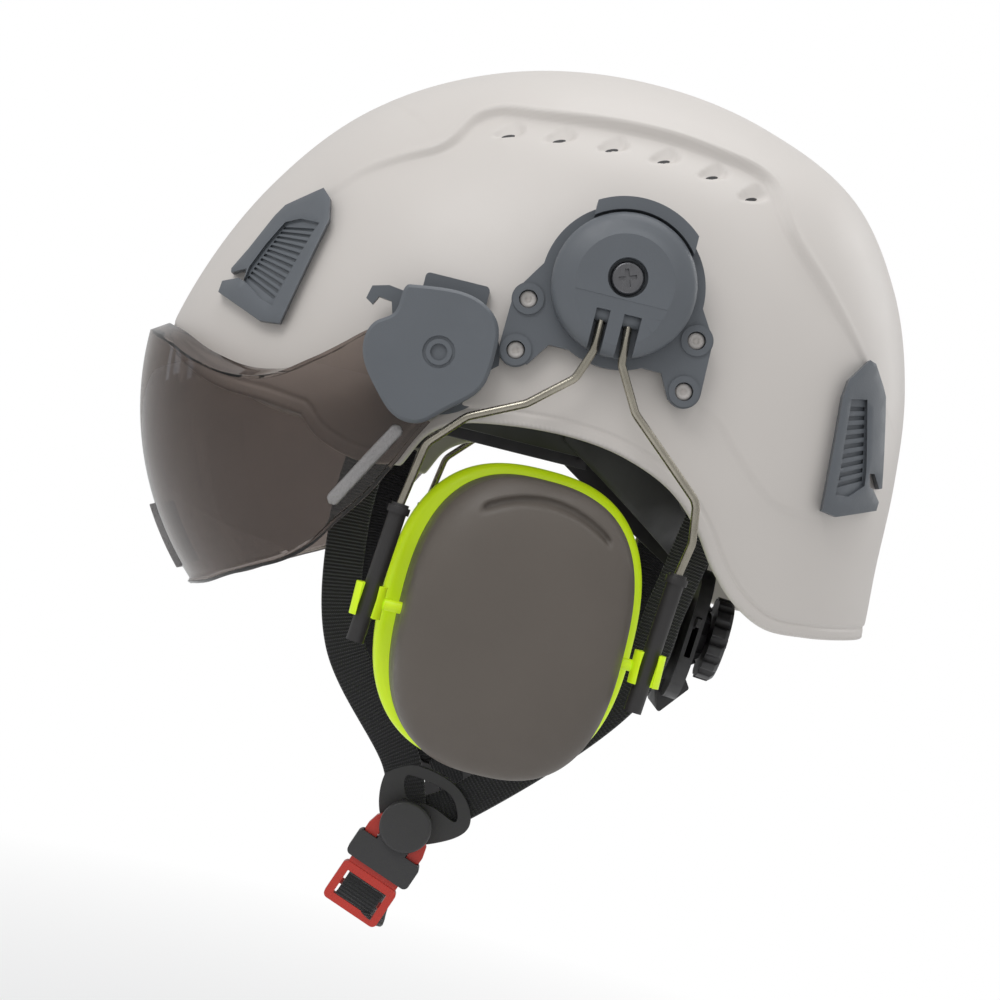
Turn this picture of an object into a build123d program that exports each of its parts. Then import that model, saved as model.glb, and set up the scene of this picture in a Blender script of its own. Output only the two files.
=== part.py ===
from build123d import *
import os
from math import atan2, cos, degrees, hypot, pi, radians, sin

# Forestry helmet, worn level: front faces -Y, the wearer's left is +X, +Z is up.
# The origin is the middle of the headband ring, where the helmet sits on a head.
# All sizes are in millimetres.

# ---- helmet shell -------------------------------------------------------------------
SHELL_HALF_WIDTH = 110.0
SHELL_WALL = 3.0
SHELL_HUB = (8.0, -25.0)  # (y, z) of the cross-wise line that the shell's arches fan from
# angle above the front, mid-plane radius, roundness of that arch
SHELL_ARCHES = [
    (-9, 155.0, 2.05), (8, 154.6, 2.05), (22, 154.8, 2.1), (36, 156.8, 2.2), (52, 160.6, 2.3),
    (70, 162.3, 2.35), (90, 163.2, 2.45), (108, 165.0, 2.45), (124, 165.6, 2.4),
    (136, 158.0, 2.35), (150, 147.0, 2.3), (164, 137.3, 2.3), (178, 133.2, 2.25),
    (190, 136.5, 2.2), (204, 142.5, 2.2),
]
# ---- visor --------------------------------------------------------------------------
VISOR_HUB = (-36.0, 13.0)  # (y, z) of the tilt axis
VISOR_HALF_WIDTH = 115.0
VISOR_ROUNDNESS = 2.2
VISOR_WALL = 1.6
VISOR_PIN_R = 3.9
VISOR_BORE_R = 4.0
BRACKET_LOW_X = 107.4  # the bracket stays inside this under the raised visor
# ---- ear muffs ----------------------------------------------------------------------
PLATE_X = 109.6  # inner face of the accessory plate
PLATE_THICK = 3.0
PLATE_HOLES = (17.0, 29.0)  # (y, z) of the middle of the four holes
PLATE_SPACING = (57.5, 17.4)
PLATE_HOLE_R = 3.1
TURRET_AXIS = (18.2, 51.0)
TURRET_CENTRE = (17.8, 49.0)
TURRET_R = 24.0
SWING_AXIS = (119.5, 38.5)  # (x, z) of the pin that the wires swing on
ARM_BLOCK_R = 2.9
WIRE_R = 1.4
SLEEVE_X = 113.0
SLEEVE_TOPS = {"front": (-36.4, -38.4), "rear": (58.6, -39.0)}  # (y, z)
SLEEVE_DIRECTION = (0.0, -0.08, -1.0)
SLEEVE_LENGTH = 48.0
SLEEVE_R = 3.0
CUP_PIVOT_Z = -72.0
CUP_YAW = 6.0
CUP_MIDDLE = (1.5, 2.5)  # rearwards of and above the tilt axis
CUP_HALF = (38.0, 50.5)  # half width and half height of the outer cup
RING_HALF = (44.0, 54.0)
CUSHION_HALF = (41.5, 51.0)
# ---- suspension and harness ---------------------------------------------------------
HEAD_HALF = (79.0, 101.0)  # half width and half length of the headband, outside
BAND_THICK = 1.8
NAPE_TILT = 4.0
RATCHET_CENTRE = (0.0, 76.0, -61.0)
RIVET_AT = (20.0, 4.0)  # (y, z) of the nape cradle's hinge
YOKE_END = 9.0  # how far the yoke's arms reach ahead of the hinge, clear of the curved headband
GEAR_MODULE = 0.8
PINION_TEETH = 8
WEB_THICK = 1.6
WEB_WIDTH = 14.0
SLIDER_X = (50.4, 53.8)
# (x, y, z) stations of each webbing route, from the shell down to the slider
STRAP_FRONT_ROUTE = [(91, -52, -17), (78, -54, -50), (66, -46, -92), (53.3, -16.5, -130),
                     (52.9, -10.5, -145.5)]
STRAP_REAR_ROUTE = [(84, 66, -19), (70, 62, -50), (62, 56, -84), (51.6, 9, -138.5), (50.9, -3.5, -147.5)]
STRAP_ANCHORS = ((-52, -10, 86), (66, -12, 79))  # y, z, and the inner face's x
SLIDER_RIM = [(-16.5, -130), (-2, -131), (9, -137), (13, -147), (4, -155), (-10, -158), (-18.5, -152)]
SLIDER_WINDOW = [(-12.5, -134), (-3, -135), (6, -140), (8, -146), (-2, -143), (-12, -141)]
BUTTON_R = 9.4
BUTTON_SHANK_R = 2.5
BUTTON_BORE_R = 2.55
BUCKLE_AT = (57.4, -9.3, -151.0)  # middle of the round button on the buckle's socket
BUCKLE_TILT = 20.0


def save(shape, node):
    """Write one node's solids."""
    export_step(shape, f"parts/{node}.step")


def both_sides(part):
    """A part and its mirror image on the wearer's other side."""
    return Compound(children=[part, mirror(part, about=Plane.YZ)])


def save_sides(part, node):
    """Write a left part and its mirrored right twin as two nodes."""
    save(part, f"{node}_left")
    save(mirror(part, about=Plane.YZ), f"{node}_right")


def solid_of(shape):
    """The largest solid in a result, without stray slivers."""
    return max(shape.solids(), key=lambda s: s.volume)


def side_face(points, curved=True):
    """A closed outline in the (y, z) side view, through the points."""
    edge = Spline(*points, periodic=True) if curved else Polyline(*points, close=True)
    return make_face(edge)


def side_slab(face, x0, x1):
    """A side-view face given thickness across the helmet, from x0 to x1."""
    return extrude(Plane.YZ.offset(x0) * face, x1 - x0)


def x_disc(y, z, r, x0, x1):
    """A disc about a cross-wise axis."""
    return side_slab(Pos(y, z) * Circle(r), x0, x1)


def y_rod(x, z, r, y0, y1):
    """A round rod along Y."""
    return extrude(Plane.XZ.offset(-y0) * (Pos(x, z) * Circle(r)), -(y1 - y0))


def fan_shell(hub, arches, half_width, outer, inner):
    """A domed wall: arches over the head, fanned about a cross-wise line.

    outer and inner are how far its two faces stand out from the arches.
    """
    half_sweep = 84
    steps = 14
    sections = []
    for angle, radius, roundness in arches:
        across = radians(angle)

        def at(phi, offset):
            a = half_width + offset
            b = radius + offset
            lean = radians(phi)
            r = ((abs(cos(lean)) / b) ** roundness + (abs(sin(lean)) / a) ** roundness) ** (-1 / roundness)
            reach = r * cos(lean)
            return (r * sin(lean), hub[0] - reach * cos(across), hub[1] + reach * sin(across))

        sweep = [half_sweep * (2 * i / steps - 1) for i in range(steps + 1)]
        over = Spline(*[at(phi, outer) for phi in sweep])
        under = Spline(*[at(phi, inner) for phi in sweep])
        ends = [Line(over @ 0, under @ 0), Line(over @ 1, under @ 1)]
        sections.append(Face(Wire([over, ends[1], under, ends[0]])))
    return loft(sections)


def shell_wall(outer, inner):
    """A layer of the helmet's dome between two offsets from its outer face."""
    return fan_shell(SHELL_HUB, SHELL_ARCHES, SHELL_HALF_WIDTH, outer, inner)


def visor_wall(outer, inner, low=-92, high=8):
    """A layer of the visor's dome between two offsets from its outer face."""
    step = (high - low) / 7
    arches = []
    for i in range(8):
        angle = low + i * step
        arches.append((angle, 113.1 - 0.2526 * angle, VISOR_ROUNDNESS))
    return fan_shell(VISOR_HUB, arches, VISOR_HALF_WIDTH, outer, inner)


def shell_x(y, z):
    """How far out the shell's outer face stands at a side-view point."""
    dy = SHELL_HUB[0] - y
    dz = z - SHELL_HUB[1]
    angle = degrees(atan2(dz, dy)) % 360
    low, high = SHELL_ARCHES[0], SHELL_ARCHES[-1]
    for arch in SHELL_ARCHES:
        if arch[0] <= angle:
            low = arch
        if arch[0] > angle:
            high = arch
            break
    share = (angle - low[0]) / (high[0] - low[0])
    radius = low[1] + share * (high[1] - low[1])
    roundness = low[2] + share * (high[2] - low[2])
    return SHELL_HALF_WIDTH * (1 - (hypot(dy, dz) / radius) ** roundness) ** (1 / roundness)


def plate_holes():
    """The (y, z) places of the accessory plate's four holes."""
    half_y, half_z = PLATE_SPACING[0] / 2, PLATE_SPACING[1] / 2
    return [(PLATE_HOLES[0] + i * half_y, PLATE_HOLES[1] + j * half_z) for i in (-1, 1) for j in (-1, 1)]


def drilled(part):
    """A part with the accessory plates' holes through both of its sides."""
    for y, z in plate_holes():
        hole = x_disc(y, z, PLATE_HOLE_R, 85, 125)
        part = part - hole - mirror(hole, about=Plane.YZ)
    return part


# ---- shell --------------------------------------------------------------------------
def rim_region():
    """Side view of all that the shell keeps: everything above its rim."""
    brim = Spline((-170, 8), (-146, 5), (-134, -4.5), (-114, -12.7), (-92, -14.5), (-78, -16))
    dip = Spline(brim @ 1, (-71, -22), (-56, -26.5), (-41, -25))
    arch = Spline((-41, -25), (-35, -13.5), (-26, -7), (-8, -3.2), (14, -2), (32, -4.2), (50, -11),
                  (62, -21), (72, -34),
                  (82, -43.3), (95, -49.5), (112, -49.5), (140, -46.4), (170, -44))
    over = Polyline(arch @ 1, (170, 170), (-170, 170), brim @ 0)
    return make_face([brim, dip, arch, over])


VENTS = [(75.7, -33.7, 97.7), (78.7, -15.7, 99.9), (80.5, 3.1, 100.8), (80.4, 21.8, 101.3),
         (79.3, 39.7, 100.2), (78.9, 55.0, 96.2)]


def make_shell():
    shell = shell_wall(0, -SHELL_WALL) & side_slab(rim_region(), -130, 130)
    for x, y, z in VENTS:
        out = Vector(x * 1.1, (y - 8) * 0.4, z)
        slot = Plane(origin=(x, y, z), x_dir=(-0.3, 1, -0.4), z_dir=out) * SlotOverall(8, 3.4)
        cut = extrude(slot, 9, both=True)
        shell = shell - cut - mirror(cut, about=Plane.YZ)
    shell = drilled(shell)
    save(solid_of(shell), "shell")


# Lamp clips, side view: outline, then the ribbed panel inside it, front and rear.
CLIP_FRONT = [(-91.7, 62.5), (-88.1, 59), (-85.9, 51), (-93.4, 11.4), (-101.1, 11.0), (-120.7, 18.6),
              (-120.5, 22.9),
              (-114, 24.9), (-111.6, 24.0), (-111.9, 28.6), (-117.8, 26.4), (-118.3, 28), (-113.6, 36.3),
              (-107.3, 49.8), (-104.5, 54.2)]
CLIP_FRONT_PANEL = [(-102.2, 47.7), (-96.5, 49.7), (-89.3, 49.2), (-91.2, 42.8), (-97.9, 17),
                    (-102.7, 18.5),
                    (-111.5, 24.2), (-111.0, 29.5), (-107.2, 38.4)]
CLIP_REAR = [(109.3, 49.7), (112.1, 49.2), (117.1, 42.5), (119.1, 39.3), (120.7, 32.6), (126.4, 7.6),
             (125.1, 7.0),
             (121.4, 11.6), (119.2, 11.1), (120.7, 6.5), (122.3, 6.3), (126.4, 2.6), (126.2, -0.6),
             (109.9, -6.8),
             (103.8, -6.2), (102.8, 10.9), (101.6, 33.9), (102.6, 40.3)]
CLIP_REAR_PANEL = [(105.0, 34.0), (111.4, 35.8), (117.6, 11.2), (118.2, 6.4), (112.8, 1.2), (107.3, 0.5),
                   (107.0, 8), (106.2, 18)]
CLIP_FRAME_HIGH = 4.2
CLIP_RIB_HIGH = 2.9
CLIP_PANEL_HIGH = 2.0


def groove_strips(left, right, count):
    """Side-view strips between ribs that are laid like rungs between two straight sides."""
    strips = []
    half = 0.24
    for i in range(count):
        rung = []
        for share in ((i + 0.5 - half) / count, (i + 0.5 + half) / count):
            rung.append([tuple(a + (b - a) * share for a, b in zip(*side)) for side in (left, right)])
        strips.append(side_face([rung[0][0], rung[0][1], rung[1][1], rung[1][0]], curved=False))
    return strips


def make_lamp_clips():
    """Moulded clips that hold a head lamp's strap: a raised rim round a ribbed panel."""
    layer = shell_wall(CLIP_FRAME_HIGH, -0.1)
    over_ribs = shell_wall(CLIP_FRAME_HIGH + 5, CLIP_RIB_HIGH)
    over_floor = shell_wall(CLIP_FRAME_HIGH + 5, CLIP_PANEL_HIGH)
    front_grooves = groove_strips([(-102.0, 46.5), (-111.0, 25.0)], [(-90.4, 47.6), (-98.4, 18.8)], 12)
    rear_grooves = groove_strips([(105.6, 32.5), (107.4, 2.2)], [(111.2, 34.0), (117.2, 7.2)], 9)
    for outline, panel, grooves, node in ((CLIP_FRONT, CLIP_FRONT_PANEL, front_grooves, "lamp_clips_front"),
                                          (CLIP_REAR, CLIP_REAR_PANEL, rear_grooves, "lamp_clips_rear")):
        clip = solid_of(layer & side_slab(side_face(outline, curved=False), 20, 130))
        clip = solid_of(clip - (over_ribs & side_slab(side_face(panel, curved=False), 20, 130)))
        for groove in grooves:
            clip = solid_of(clip - (over_floor & side_slab(groove, 20, 130)))
        save(both_sides(clip), node)


def make_liner():
    """Impact liner under the crown, and the pads that touch the head."""
    keep = side_slab(side_face([(-125, 24), (-60, 12), (-20, 6), (50, 6), (110, 20), (128, 40), (128, 150),
                                (-125, 150)], curved=False), -130, 130)
    liner = shell_wall(-SHELL_WALL - 0.6, -SHELL_WALL - 9.6) & keep
    for lug in lug_blocks(1.0):
        liner = liner - lug
    save(solid_of(drilled(liner)), "impact_liner")
    pad = Pos(0, 4, 98.5) * extrude(RectangleRounded(76, 92, 20), 7)
    save(fillet(pad.edges().group_by(Axis.Z)[-1], 3), "crown_pad")


# ---- suspension ---------------------------------------------------------------------
def ellipse_band(a, b, thick, width):
    """An elliptical hoop lying flat, centred on its width."""
    hoop = make_face(Ellipse(a, b).edge()) - make_face(Ellipse(a - thick, b - thick).edge())
    return extrude(hoop, width / 2, both=True)


def lug_blocks(grow=0.0):
    """The four blocks that reach in from the shell to the cradle straps."""
    g = 2 * grow
    side = Pos(93.0, 0, 11) * Box(26, 16 + g, 9 + g)
    front = Pos(0, -121.4, 13) * Box(16 + g, 40, 8 + g)
    rear = Pos(0, 117, 13) * Box(16 + g, 34, 8 + g)
    return [side, mirror(side, about=Plane.YZ), front, rear]


def make_cradle():
    """Two webbing straps that cross under the crown, and the lugs that carry them."""
    above = Pos(0, 0, 87) * Box(300, 300, 150)
    length = make_face(Ellipse(112, 94).edge()) - make_face(Ellipse(110.8, 92.8).edge())
    save(solid_of(Pos(0, 2, 0) * (side_slab(length, -9, 9) & above)), "cradle_strap_lengthwise")
    across = make_face(Ellipse(91, 91.6).edge()) - make_face(Ellipse(89.8, 90.4).edge())
    save(solid_of(extrude(Plane.XZ * across, 9, both=True) & above), "cradle_strap_crosswise")
    outside = shell_wall(12, -SHELL_WALL + 0.2)
    lugs = [solid_of(lug - outside) for lug in lug_blocks()]
    save(Compound(children=lugs), "cradle_lugs")


def make_headband():
    hoop = Pos(0, 0, 3) * ellipse_band(HEAD_HALF[0], HEAD_HALF[1], BAND_THICK, 22)
    hoop = hoop & (Pos(0, -90, 0) * Box(200, 236, 80))
    rivet = x_disc(*RIVET_AT, 3.0, 74.0, 82.0) + x_disc(*RIVET_AT, 4.5, 82.0, 83.2)
    rivet = rivet & (Pos(100, 0, 0) * Box(51.8, 100, 100))
    save(both_sides(rivet), "headband_rivets")
    hole = x_disc(*RIVET_AT, 3.0, 60, 90)
    hoop = hoop - hole - mirror(hole, about=Plane.YZ)
    save(solid_of(hoop), "headband")
    brow = Pos(0, 0, 3) * ellipse_band(HEAD_HALF[0] - 2.2, HEAD_HALF[1] - 2.2, 5, 28)
    brow = brow & (Pos(0, -90, 0) * Box(124, 100, 80))
    save(solid_of(brow), "brow_pad")


def nape_seat():
    """Place of the ratchet: x across, y rearwards out of the knob, z up."""
    return Pos(*RATCHET_CENTRE) * Rot(-NAPE_TILT, 0, 0)


def make_nape():
    """The nape cradle: its yoke, ratchet housing and pad."""
    side_y, low_y, low_z = RIVET_AT[0], 78.6, -34
    yoke_tilt = degrees(atan2(low_z - 3, low_y - side_y))
    frame = Pos(0, side_y, 3) * Rot(yoke_tilt, 0, 0)
    yoke = frame * ellipse_band(HEAD_HALF[0] + 2.6, hypot(low_y - side_y, low_z - 3), 2.0, 20)
    yoke = yoke & (Pos(0, side_y + 92, 0) * Box(220, 200, 200))
    yoke = yoke & (frame * Pos(0, 100 - YOKE_END, 0) * Box(220, 200, 60))
    hole = x_disc(*RIVET_AT, 3.06, 60, 90)
    yoke = yoke - hole - mirror(hole, about=Plane.YZ)
    face = Rot(90, 0, 0) * RectangleRounded(92, 50, 18)
    case = extrude(face, 2.5, both=True) + Pos(0, 5.9, 0) * Rot(-90, 0, 0) * Cone(15, 9, 7.2)
    for i in range(10):
        rib = Rot(0, 36 * i, 0) * (Pos(12.4, 5.0, 0) * Rot(0, 0, 38) * Box(3.2, 7.6, 1.6))
        case = case + rib
    case = case - Box(120, 2.2, 15.4) - y_rod(0, 0, 3.06, 0, 12)
    tab = Pos(0, -1.2, 24) * Box(44, 2.4, 14)
    flap = side_slab(side_face([(-4.5, -20), (4.6, -16), (7.6, -20), (-1.5, -33)], curved=False), -21, 21)
    flap = fillet(flap.edges().filter_by(Axis.X), 1)
    cover = nape_seat() * (case + tab + flap)
    save(solid_of(cover), "ratchet_cover")
    save(solid_of(yoke - cover), "nape_yoke")
    pad = Pos(0, -7.4, -3) * extrude(Rot(90, 0, 0) * RectangleRounded(84, 36, 16), 2.6, both=True)
    save(nape_seat() * pad, "nape_pad")


def gear_tooth(half_pitch_width, height):
    """A tooth standing up from the pitch line, a little slimmer than its gap."""
    slope = 0.36 * height
    return make_face(Polyline((-half_pitch_width - slope, -height - 0.2),
                              (-half_pitch_width + slope, height),
                              (half_pitch_width - slope, height), (half_pitch_width + slope, -height - 0.2),
                              close=True))


def make_ratchet():
    """Knob and pinion on one shaft, with a toothed strip above and one below."""
    inner_y, outer_y, radius = 10.2, 16.8, 16.4
    knob = y_rod(0, 0, radius, inner_y, outer_y)
    knob = chamfer(knob.edges().group_by(Axis.Y)[-1], 1.5)
    knob = knob - y_rod(0, 0, 11, outer_y - 1.5, outer_y + 5) + Pos(0, outer_y - 1, 0) * Box(24, 3, 3.4)
    for i in range(14):
        knob = knob - Rot(0, 360 / 14 * i, 0) * y_rod(radius + 0.6, 0, 1.9, 0, 20)
    knob = knob + y_rod(0, 0, 3.0, 0.95, inner_y)
    save(nape_seat() * solid_of(knob), "ratchet_knob")
    pitch_r = GEAR_MODULE * PINION_TEETH / 2
    tooth = gear_tooth(0.5, 0.6)
    disc = Circle(pitch_r - 0.75)
    for i in range(PINION_TEETH):
        disc = disc + Rot(0, 0, 360 / PINION_TEETH * i) * Pos(0, pitch_r) * tooth
    pinion = extrude(Plane.XZ * disc, 0.9, both=True)
    save(nape_seat() * solid_of(pinion), "ratchet_pinion")
    rack_low, rack_high = pitch_r + 0.75, 7.4
    strip = Pos(19, (rack_low + rack_high) / 2) * Rectangle(62, rack_high - rack_low)
    pitch = pi * GEAR_MODULE
    for i in range(-4, 16):
        strip = strip + Pos((i + 0.5) * pitch, pitch_r) * Rot(0, 0, 180) * tooth
    rack = extrude(Plane.XZ * strip, 0.8, both=True)
    save(nape_seat() * solid_of(rack), "ratchet_rack_left")
    save(nape_seat() * (Rot(0, 180, 0) * solid_of(rack)), "ratchet_rack_right")


# ---- visor --------------------------------------------------------------------------
def make_visor():
    y0, z0 = VISOR_HUB
    top = Spline((-160, 5), (-151, 1.6), (-134, -2.5), (-118, -7.8), (-101, -9.6), (-87, -5), (-73, 4.6),
                 (-62, 13), (-50, 21))
    low = Spline((-120, -90), (-108, -84.8), (-90, -75), (-71, -64), (-58, -48), (-49.5, -37.6),
                 (-43, -24.8),
                 (-34, -9), (-26, 4))
    back = Line(low @ 1, top @ 1)
    front = Polyline(top @ 0, (-175, 5), (-175, -90), low @ 0)
    lens = visor_wall(0, -VISOR_WALL) & side_slab(make_face([top, back, low, front]), -130, 130)
    lens = solid_of(lens)
    ear = x_disc(y0, z0, 14, 112.9, 114.6)
    lens = lens + ear + mirror(ear, about=Plane.YZ)
    bore = x_disc(y0, z0, VISOR_BORE_R, 105, 120)
    lens = lens - bore - mirror(bore, about=Plane.YZ)
    save(solid_of(lens), "visor_lens")
    tab = side_slab(side_face([(-140, -66), (-128, -60), (-112, -80), (-124, -88)], curved=False), -15, 15)
    tab = visor_wall(2.6, -0.1) & tab
    save(solid_of(tab), "visor_lift_tab")
    strip = side_slab(side_face([(-40, -13), (-44.5, -12), (-62, -43.5), (-58, -46)], curved=False),
                      60, 130)
    save(both_sides(solid_of(visor_wall(0.8, -0.1) & strip)), "visor_grips")
    outline = side_face([(-50.4, 32.4), (-38.2, 34), (-26.1, 32.4), (-19.6, 27), (-17.9, 16), (-19.6, 4.8),
                         (-30.1, -5.7), (-36.5, -11), (-43.9, -11.3), (-52.5, -4.5), (-60.9, 10.1),
                         (-58.5, 18),
                         (-53.2, 22.5)])
    cap = side_slab(outline, 114.7, 119.4)
    cap = chamfer(cap.edges().group_by(Axis.X)[-1], 1.1)
    cap = cap - x_disc(y0, z0, VISOR_BORE_R, 110, 117)
    cap = cap - x_disc(y0, z0, 5.4, 118.6, 121) + x_disc(y0, z0, 4.3, 118.4, 119.2) - x_disc(y0, z0, 2.8,
                                                                                             118.0, 121)
    save_sides(solid_of(cap), "visor_cap")
    plate = x_disc(y0, z0, 14, 106, 112.3)
    tab = side_slab(Pos(-36, 28.4) * RectangleRounded(22, 21, 1.5), 101.5, BRACKET_LOW_X)
    lever = side_face([(-36, 27), (-50, 30.5), (-58, 31.5), (-63.5, 30), (-64.5, 25.5), (-62, 24),
                       (-60.5, 27),
                       (-56, 26.5), (-54, 20), (-40, 14)], curved=False)
    plate = plate + tab + side_slab(lever, 103.5, BRACKET_LOW_X) + x_disc(y0, z0, 20, 105.6, BRACKET_LOW_X)
    plate = plate + x_disc(y0, z0, 9, shell_x(y0, z0) - 0.9, 106)
    save_sides(solid_of(plate - x_disc(y0, z0, 2.5, 100, 120)), "visor_bracket")
    pin = x_disc(y0, z0, VISOR_PIN_R, 112.3, 116.6) + x_disc(y0, z0, 2.5, 106.2, 112.3)
    save(both_sides(pin), "visor_pivot_pins")


# ---- ear muffs ----------------------------------------------------------------------
def make_muff_base():
    """Accessory plate on the shell, with four holes and a collar round the turret."""
    outer_x = PLATE_X + PLATE_THICK
    outline = side_face([(-17.4, 20.5), (-16.9, 39), (-8, 53), (43, 52), (51.1, 39), (51.4, 20.5),
                         (41.2, 16.5),
                         (36.9, 24.6), (-1.5, 24.6), (-7, 16.5)], curved=False)
    plate = side_slab(outline, PLATE_X, outer_x) + x_disc(*TURRET_CENTRE, 27.4, PLATE_X, outer_x)
    for hy, hz in plate_holes():
        plate = plate + x_disc(hy, hz, 5.6, PLATE_X, outer_x)
    y, z = TURRET_CENTRE
    collar = x_disc(y, z, 29.4, outer_x - 3, 118.6) - x_disc(y, z, 25.2, outer_x, 130)
    collar = collar & (Pos(115, y + 2.5, z + 20) * Box(40, 35, 40))
    plate = plate + collar
    ay, az = TURRET_AXIS
    plate = plate + x_disc(ay, az, 12, shell_x(ay, az) - 0.4, PLATE_X + 1)
    plate = plate + x_disc(ay, az, 4.0, outer_x - 1, 119.5)
    for hy, hz in plate_holes():
        plate = plate + x_disc(hy, hz, 5.2, shell_x(hy, hz) - 0.3, outer_x + 0.8)
        plate = plate - x_disc(hy, hz, PLATE_HOLE_R, 90, 125)
    save_sides(solid_of(plate - x_disc(ay, az, 1.6, 108, 130)), "muff_base")


def make_turret():
    """Round hub that turns on the plate, its screw, and the pin of the wire arm."""
    y, z = TURRET_CENTRE
    ay, az = TURRET_AXIS
    sx, sz = SWING_AXIS
    x0 = PLATE_X + PLATE_THICK + 0.4
    profile = [(x0, 0), (x0, TURRET_R), (119.6, TURRET_R), (121.4, TURRET_R - 1.4), (124.2, 17.2),
               (125.0, 16.2),
               (125.0, 0)]
    disc = Pos(0, y, z) * revolve(make_face(Polyline(*profile, close=True)), Axis.X)
    facet = make_face(Polyline((126, 44.6), (124.8, 43.6), (122.0, 24.2), (140, 20), (140, 44.6),
                               close=True))
    disc = disc - extrude(Plane.XZ.offset(-y) * facet, 40, both=True)
    disc = disc - y_rod(sx, sz, ARM_BLOCK_R + 0.35, 8.2, 27.4)
    for wire_y, half in ((13.0, 2.3), (22.9, 2.9)):
        disc = disc - Pos(117.2 + 10, wire_y, sz - 15) * Box(20, 2 * half, 31.6)
    disc = disc - x_disc(ay, az, 4.06, 100, 130) - x_disc(ay, az, 6.6, 121, 130)
    disc = disc - y_rod(sx, sz, 1.5, 4, 31.6)
    save_sides(solid_of(disc), "muff_turret")
    save_sides(y_rod(sx, sz, 1.5, 4.2, 31.4), "muff_swing_pin")
    head = x_disc(ay, az, 5.6, 121.2, 123.8)
    head = fillet(head.edges().group_by(Axis.X)[-1], 1.2)
    cross = Pos(123.8, ay, az) * Rot(20, 0, 0) * (Box(2.6, 6.0, 1.3) + Box(2.6, 1.3, 6.0))
    shank = x_disc(ay, az, 1.55, 110, 121.2)
    save_sides(solid_of(head - cross + shank), "muff_screw")


def sleeve_point(end, down):
    """A point on a sleeve's axis, a given depth below its top."""
    y, z = SLEEVE_TOPS[end]
    return (SLEEVE_X, y + SLEEVE_DIRECTION[1] * down, z + SLEEVE_DIRECTION[2] * down)


def sleeve_pose(end, down):
    """A plane across a sleeve, facing down along it."""
    return Plane(origin=sleeve_point(end, down), x_dir=(1, 0, 0), z_dir=SLEEVE_DIRECTION)


WIRE_ROUTES = {
    "front": [(119.5, 13.2, 36.2), (119.3, 13.2, 25.5), (118.6, 9.6, 15.5), (117, -4, 3.6),
              (115, -22, -5.2),
              (113.6, -33.0, -17)],
    "rear": [(119.5, 22.2, 36.2), (119.3, 23.2, 23.5), (118.6, 31.5, 9), (116.6, 46.5, -4),
             (114.6, 58.5, -14.5),
             (113.4, 60.5, -28)],
}


def make_wires():
    """Two stainless wires, their rubber sleeves, and the block that they swing from."""
    wires = []
    sleeves = []
    for end, route in WIRE_ROUTES.items():
        tip = Vector(*sleeve_point(end, SLEEVE_LENGTH - 4))
        points = [Vector(*p) for p in route] + [Vector(*sleeve_point(end, 0)), tip]
        path = FilletPolyline(*points, radius=[4, 6, 7, 7, 7, 7][:len(points) - 2])
        start = Plane(origin=path @ 0, z_dir=path % 0)
        wires.append(sweep(start * Circle(WIRE_R), path=path.wire()))
        tube = extrude(sleeve_pose(end, 0) * Circle(SLEEVE_R), SLEEVE_LENGTH)
        bead = extrude(sleeve_pose(end, 1) * Circle(SLEEVE_R + 0.8), 2.4)
        bore = extrude(sleeve_pose(end, -1) * Circle(WIRE_R + 0.05), SLEEVE_LENGTH - 2)
        sleeves.append(tube + bead - bore)
    both = Compound(children=[solid_of(w) for w in wires])
    save_sides(both, "muff_wires")
    save_sides(Compound(children=[solid_of(s) for s in sleeves]), "muff_sleeves")
    block = y_rod(SWING_AXIS[0], SWING_AXIS[1], ARM_BLOCK_R, 8.5, 27.1)
    save_sides(solid_of(block - y_rod(SWING_AXIS[0], SWING_AXIS[1], 1.56, 5, 32)), "muff_arm_block")


def cup_frame():
    """Local frame of the cup: x rearwards, y up, z outwards, at the tilt axis."""
    front = sleeve_point("front", SLEEVE_TOPS["front"][1] - CUP_PIVOT_Z)
    rear = sleeve_point("rear", SLEEVE_TOPS["rear"][1] - CUP_PIVOT_Z)
    middle = (front[1] + rear[1]) / 2
    yaw = radians(CUP_YAW)
    return Plane(origin=(SLEEVE_X, middle, CUP_PIVOT_Z), x_dir=(-sin(yaw), cos(yaw), 0), z_dir=(cos(yaw),
                                                                                                sin(yaw),
                                                                                                0))


def oval(half, grow=0.0):
    """The muff's rounded outline."""
    a, b = half
    return Pos(*CUP_MIDDLE) * RectangleRounded(2 * (a + grow), 2 * (b + grow), a + grow - 4)


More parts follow.
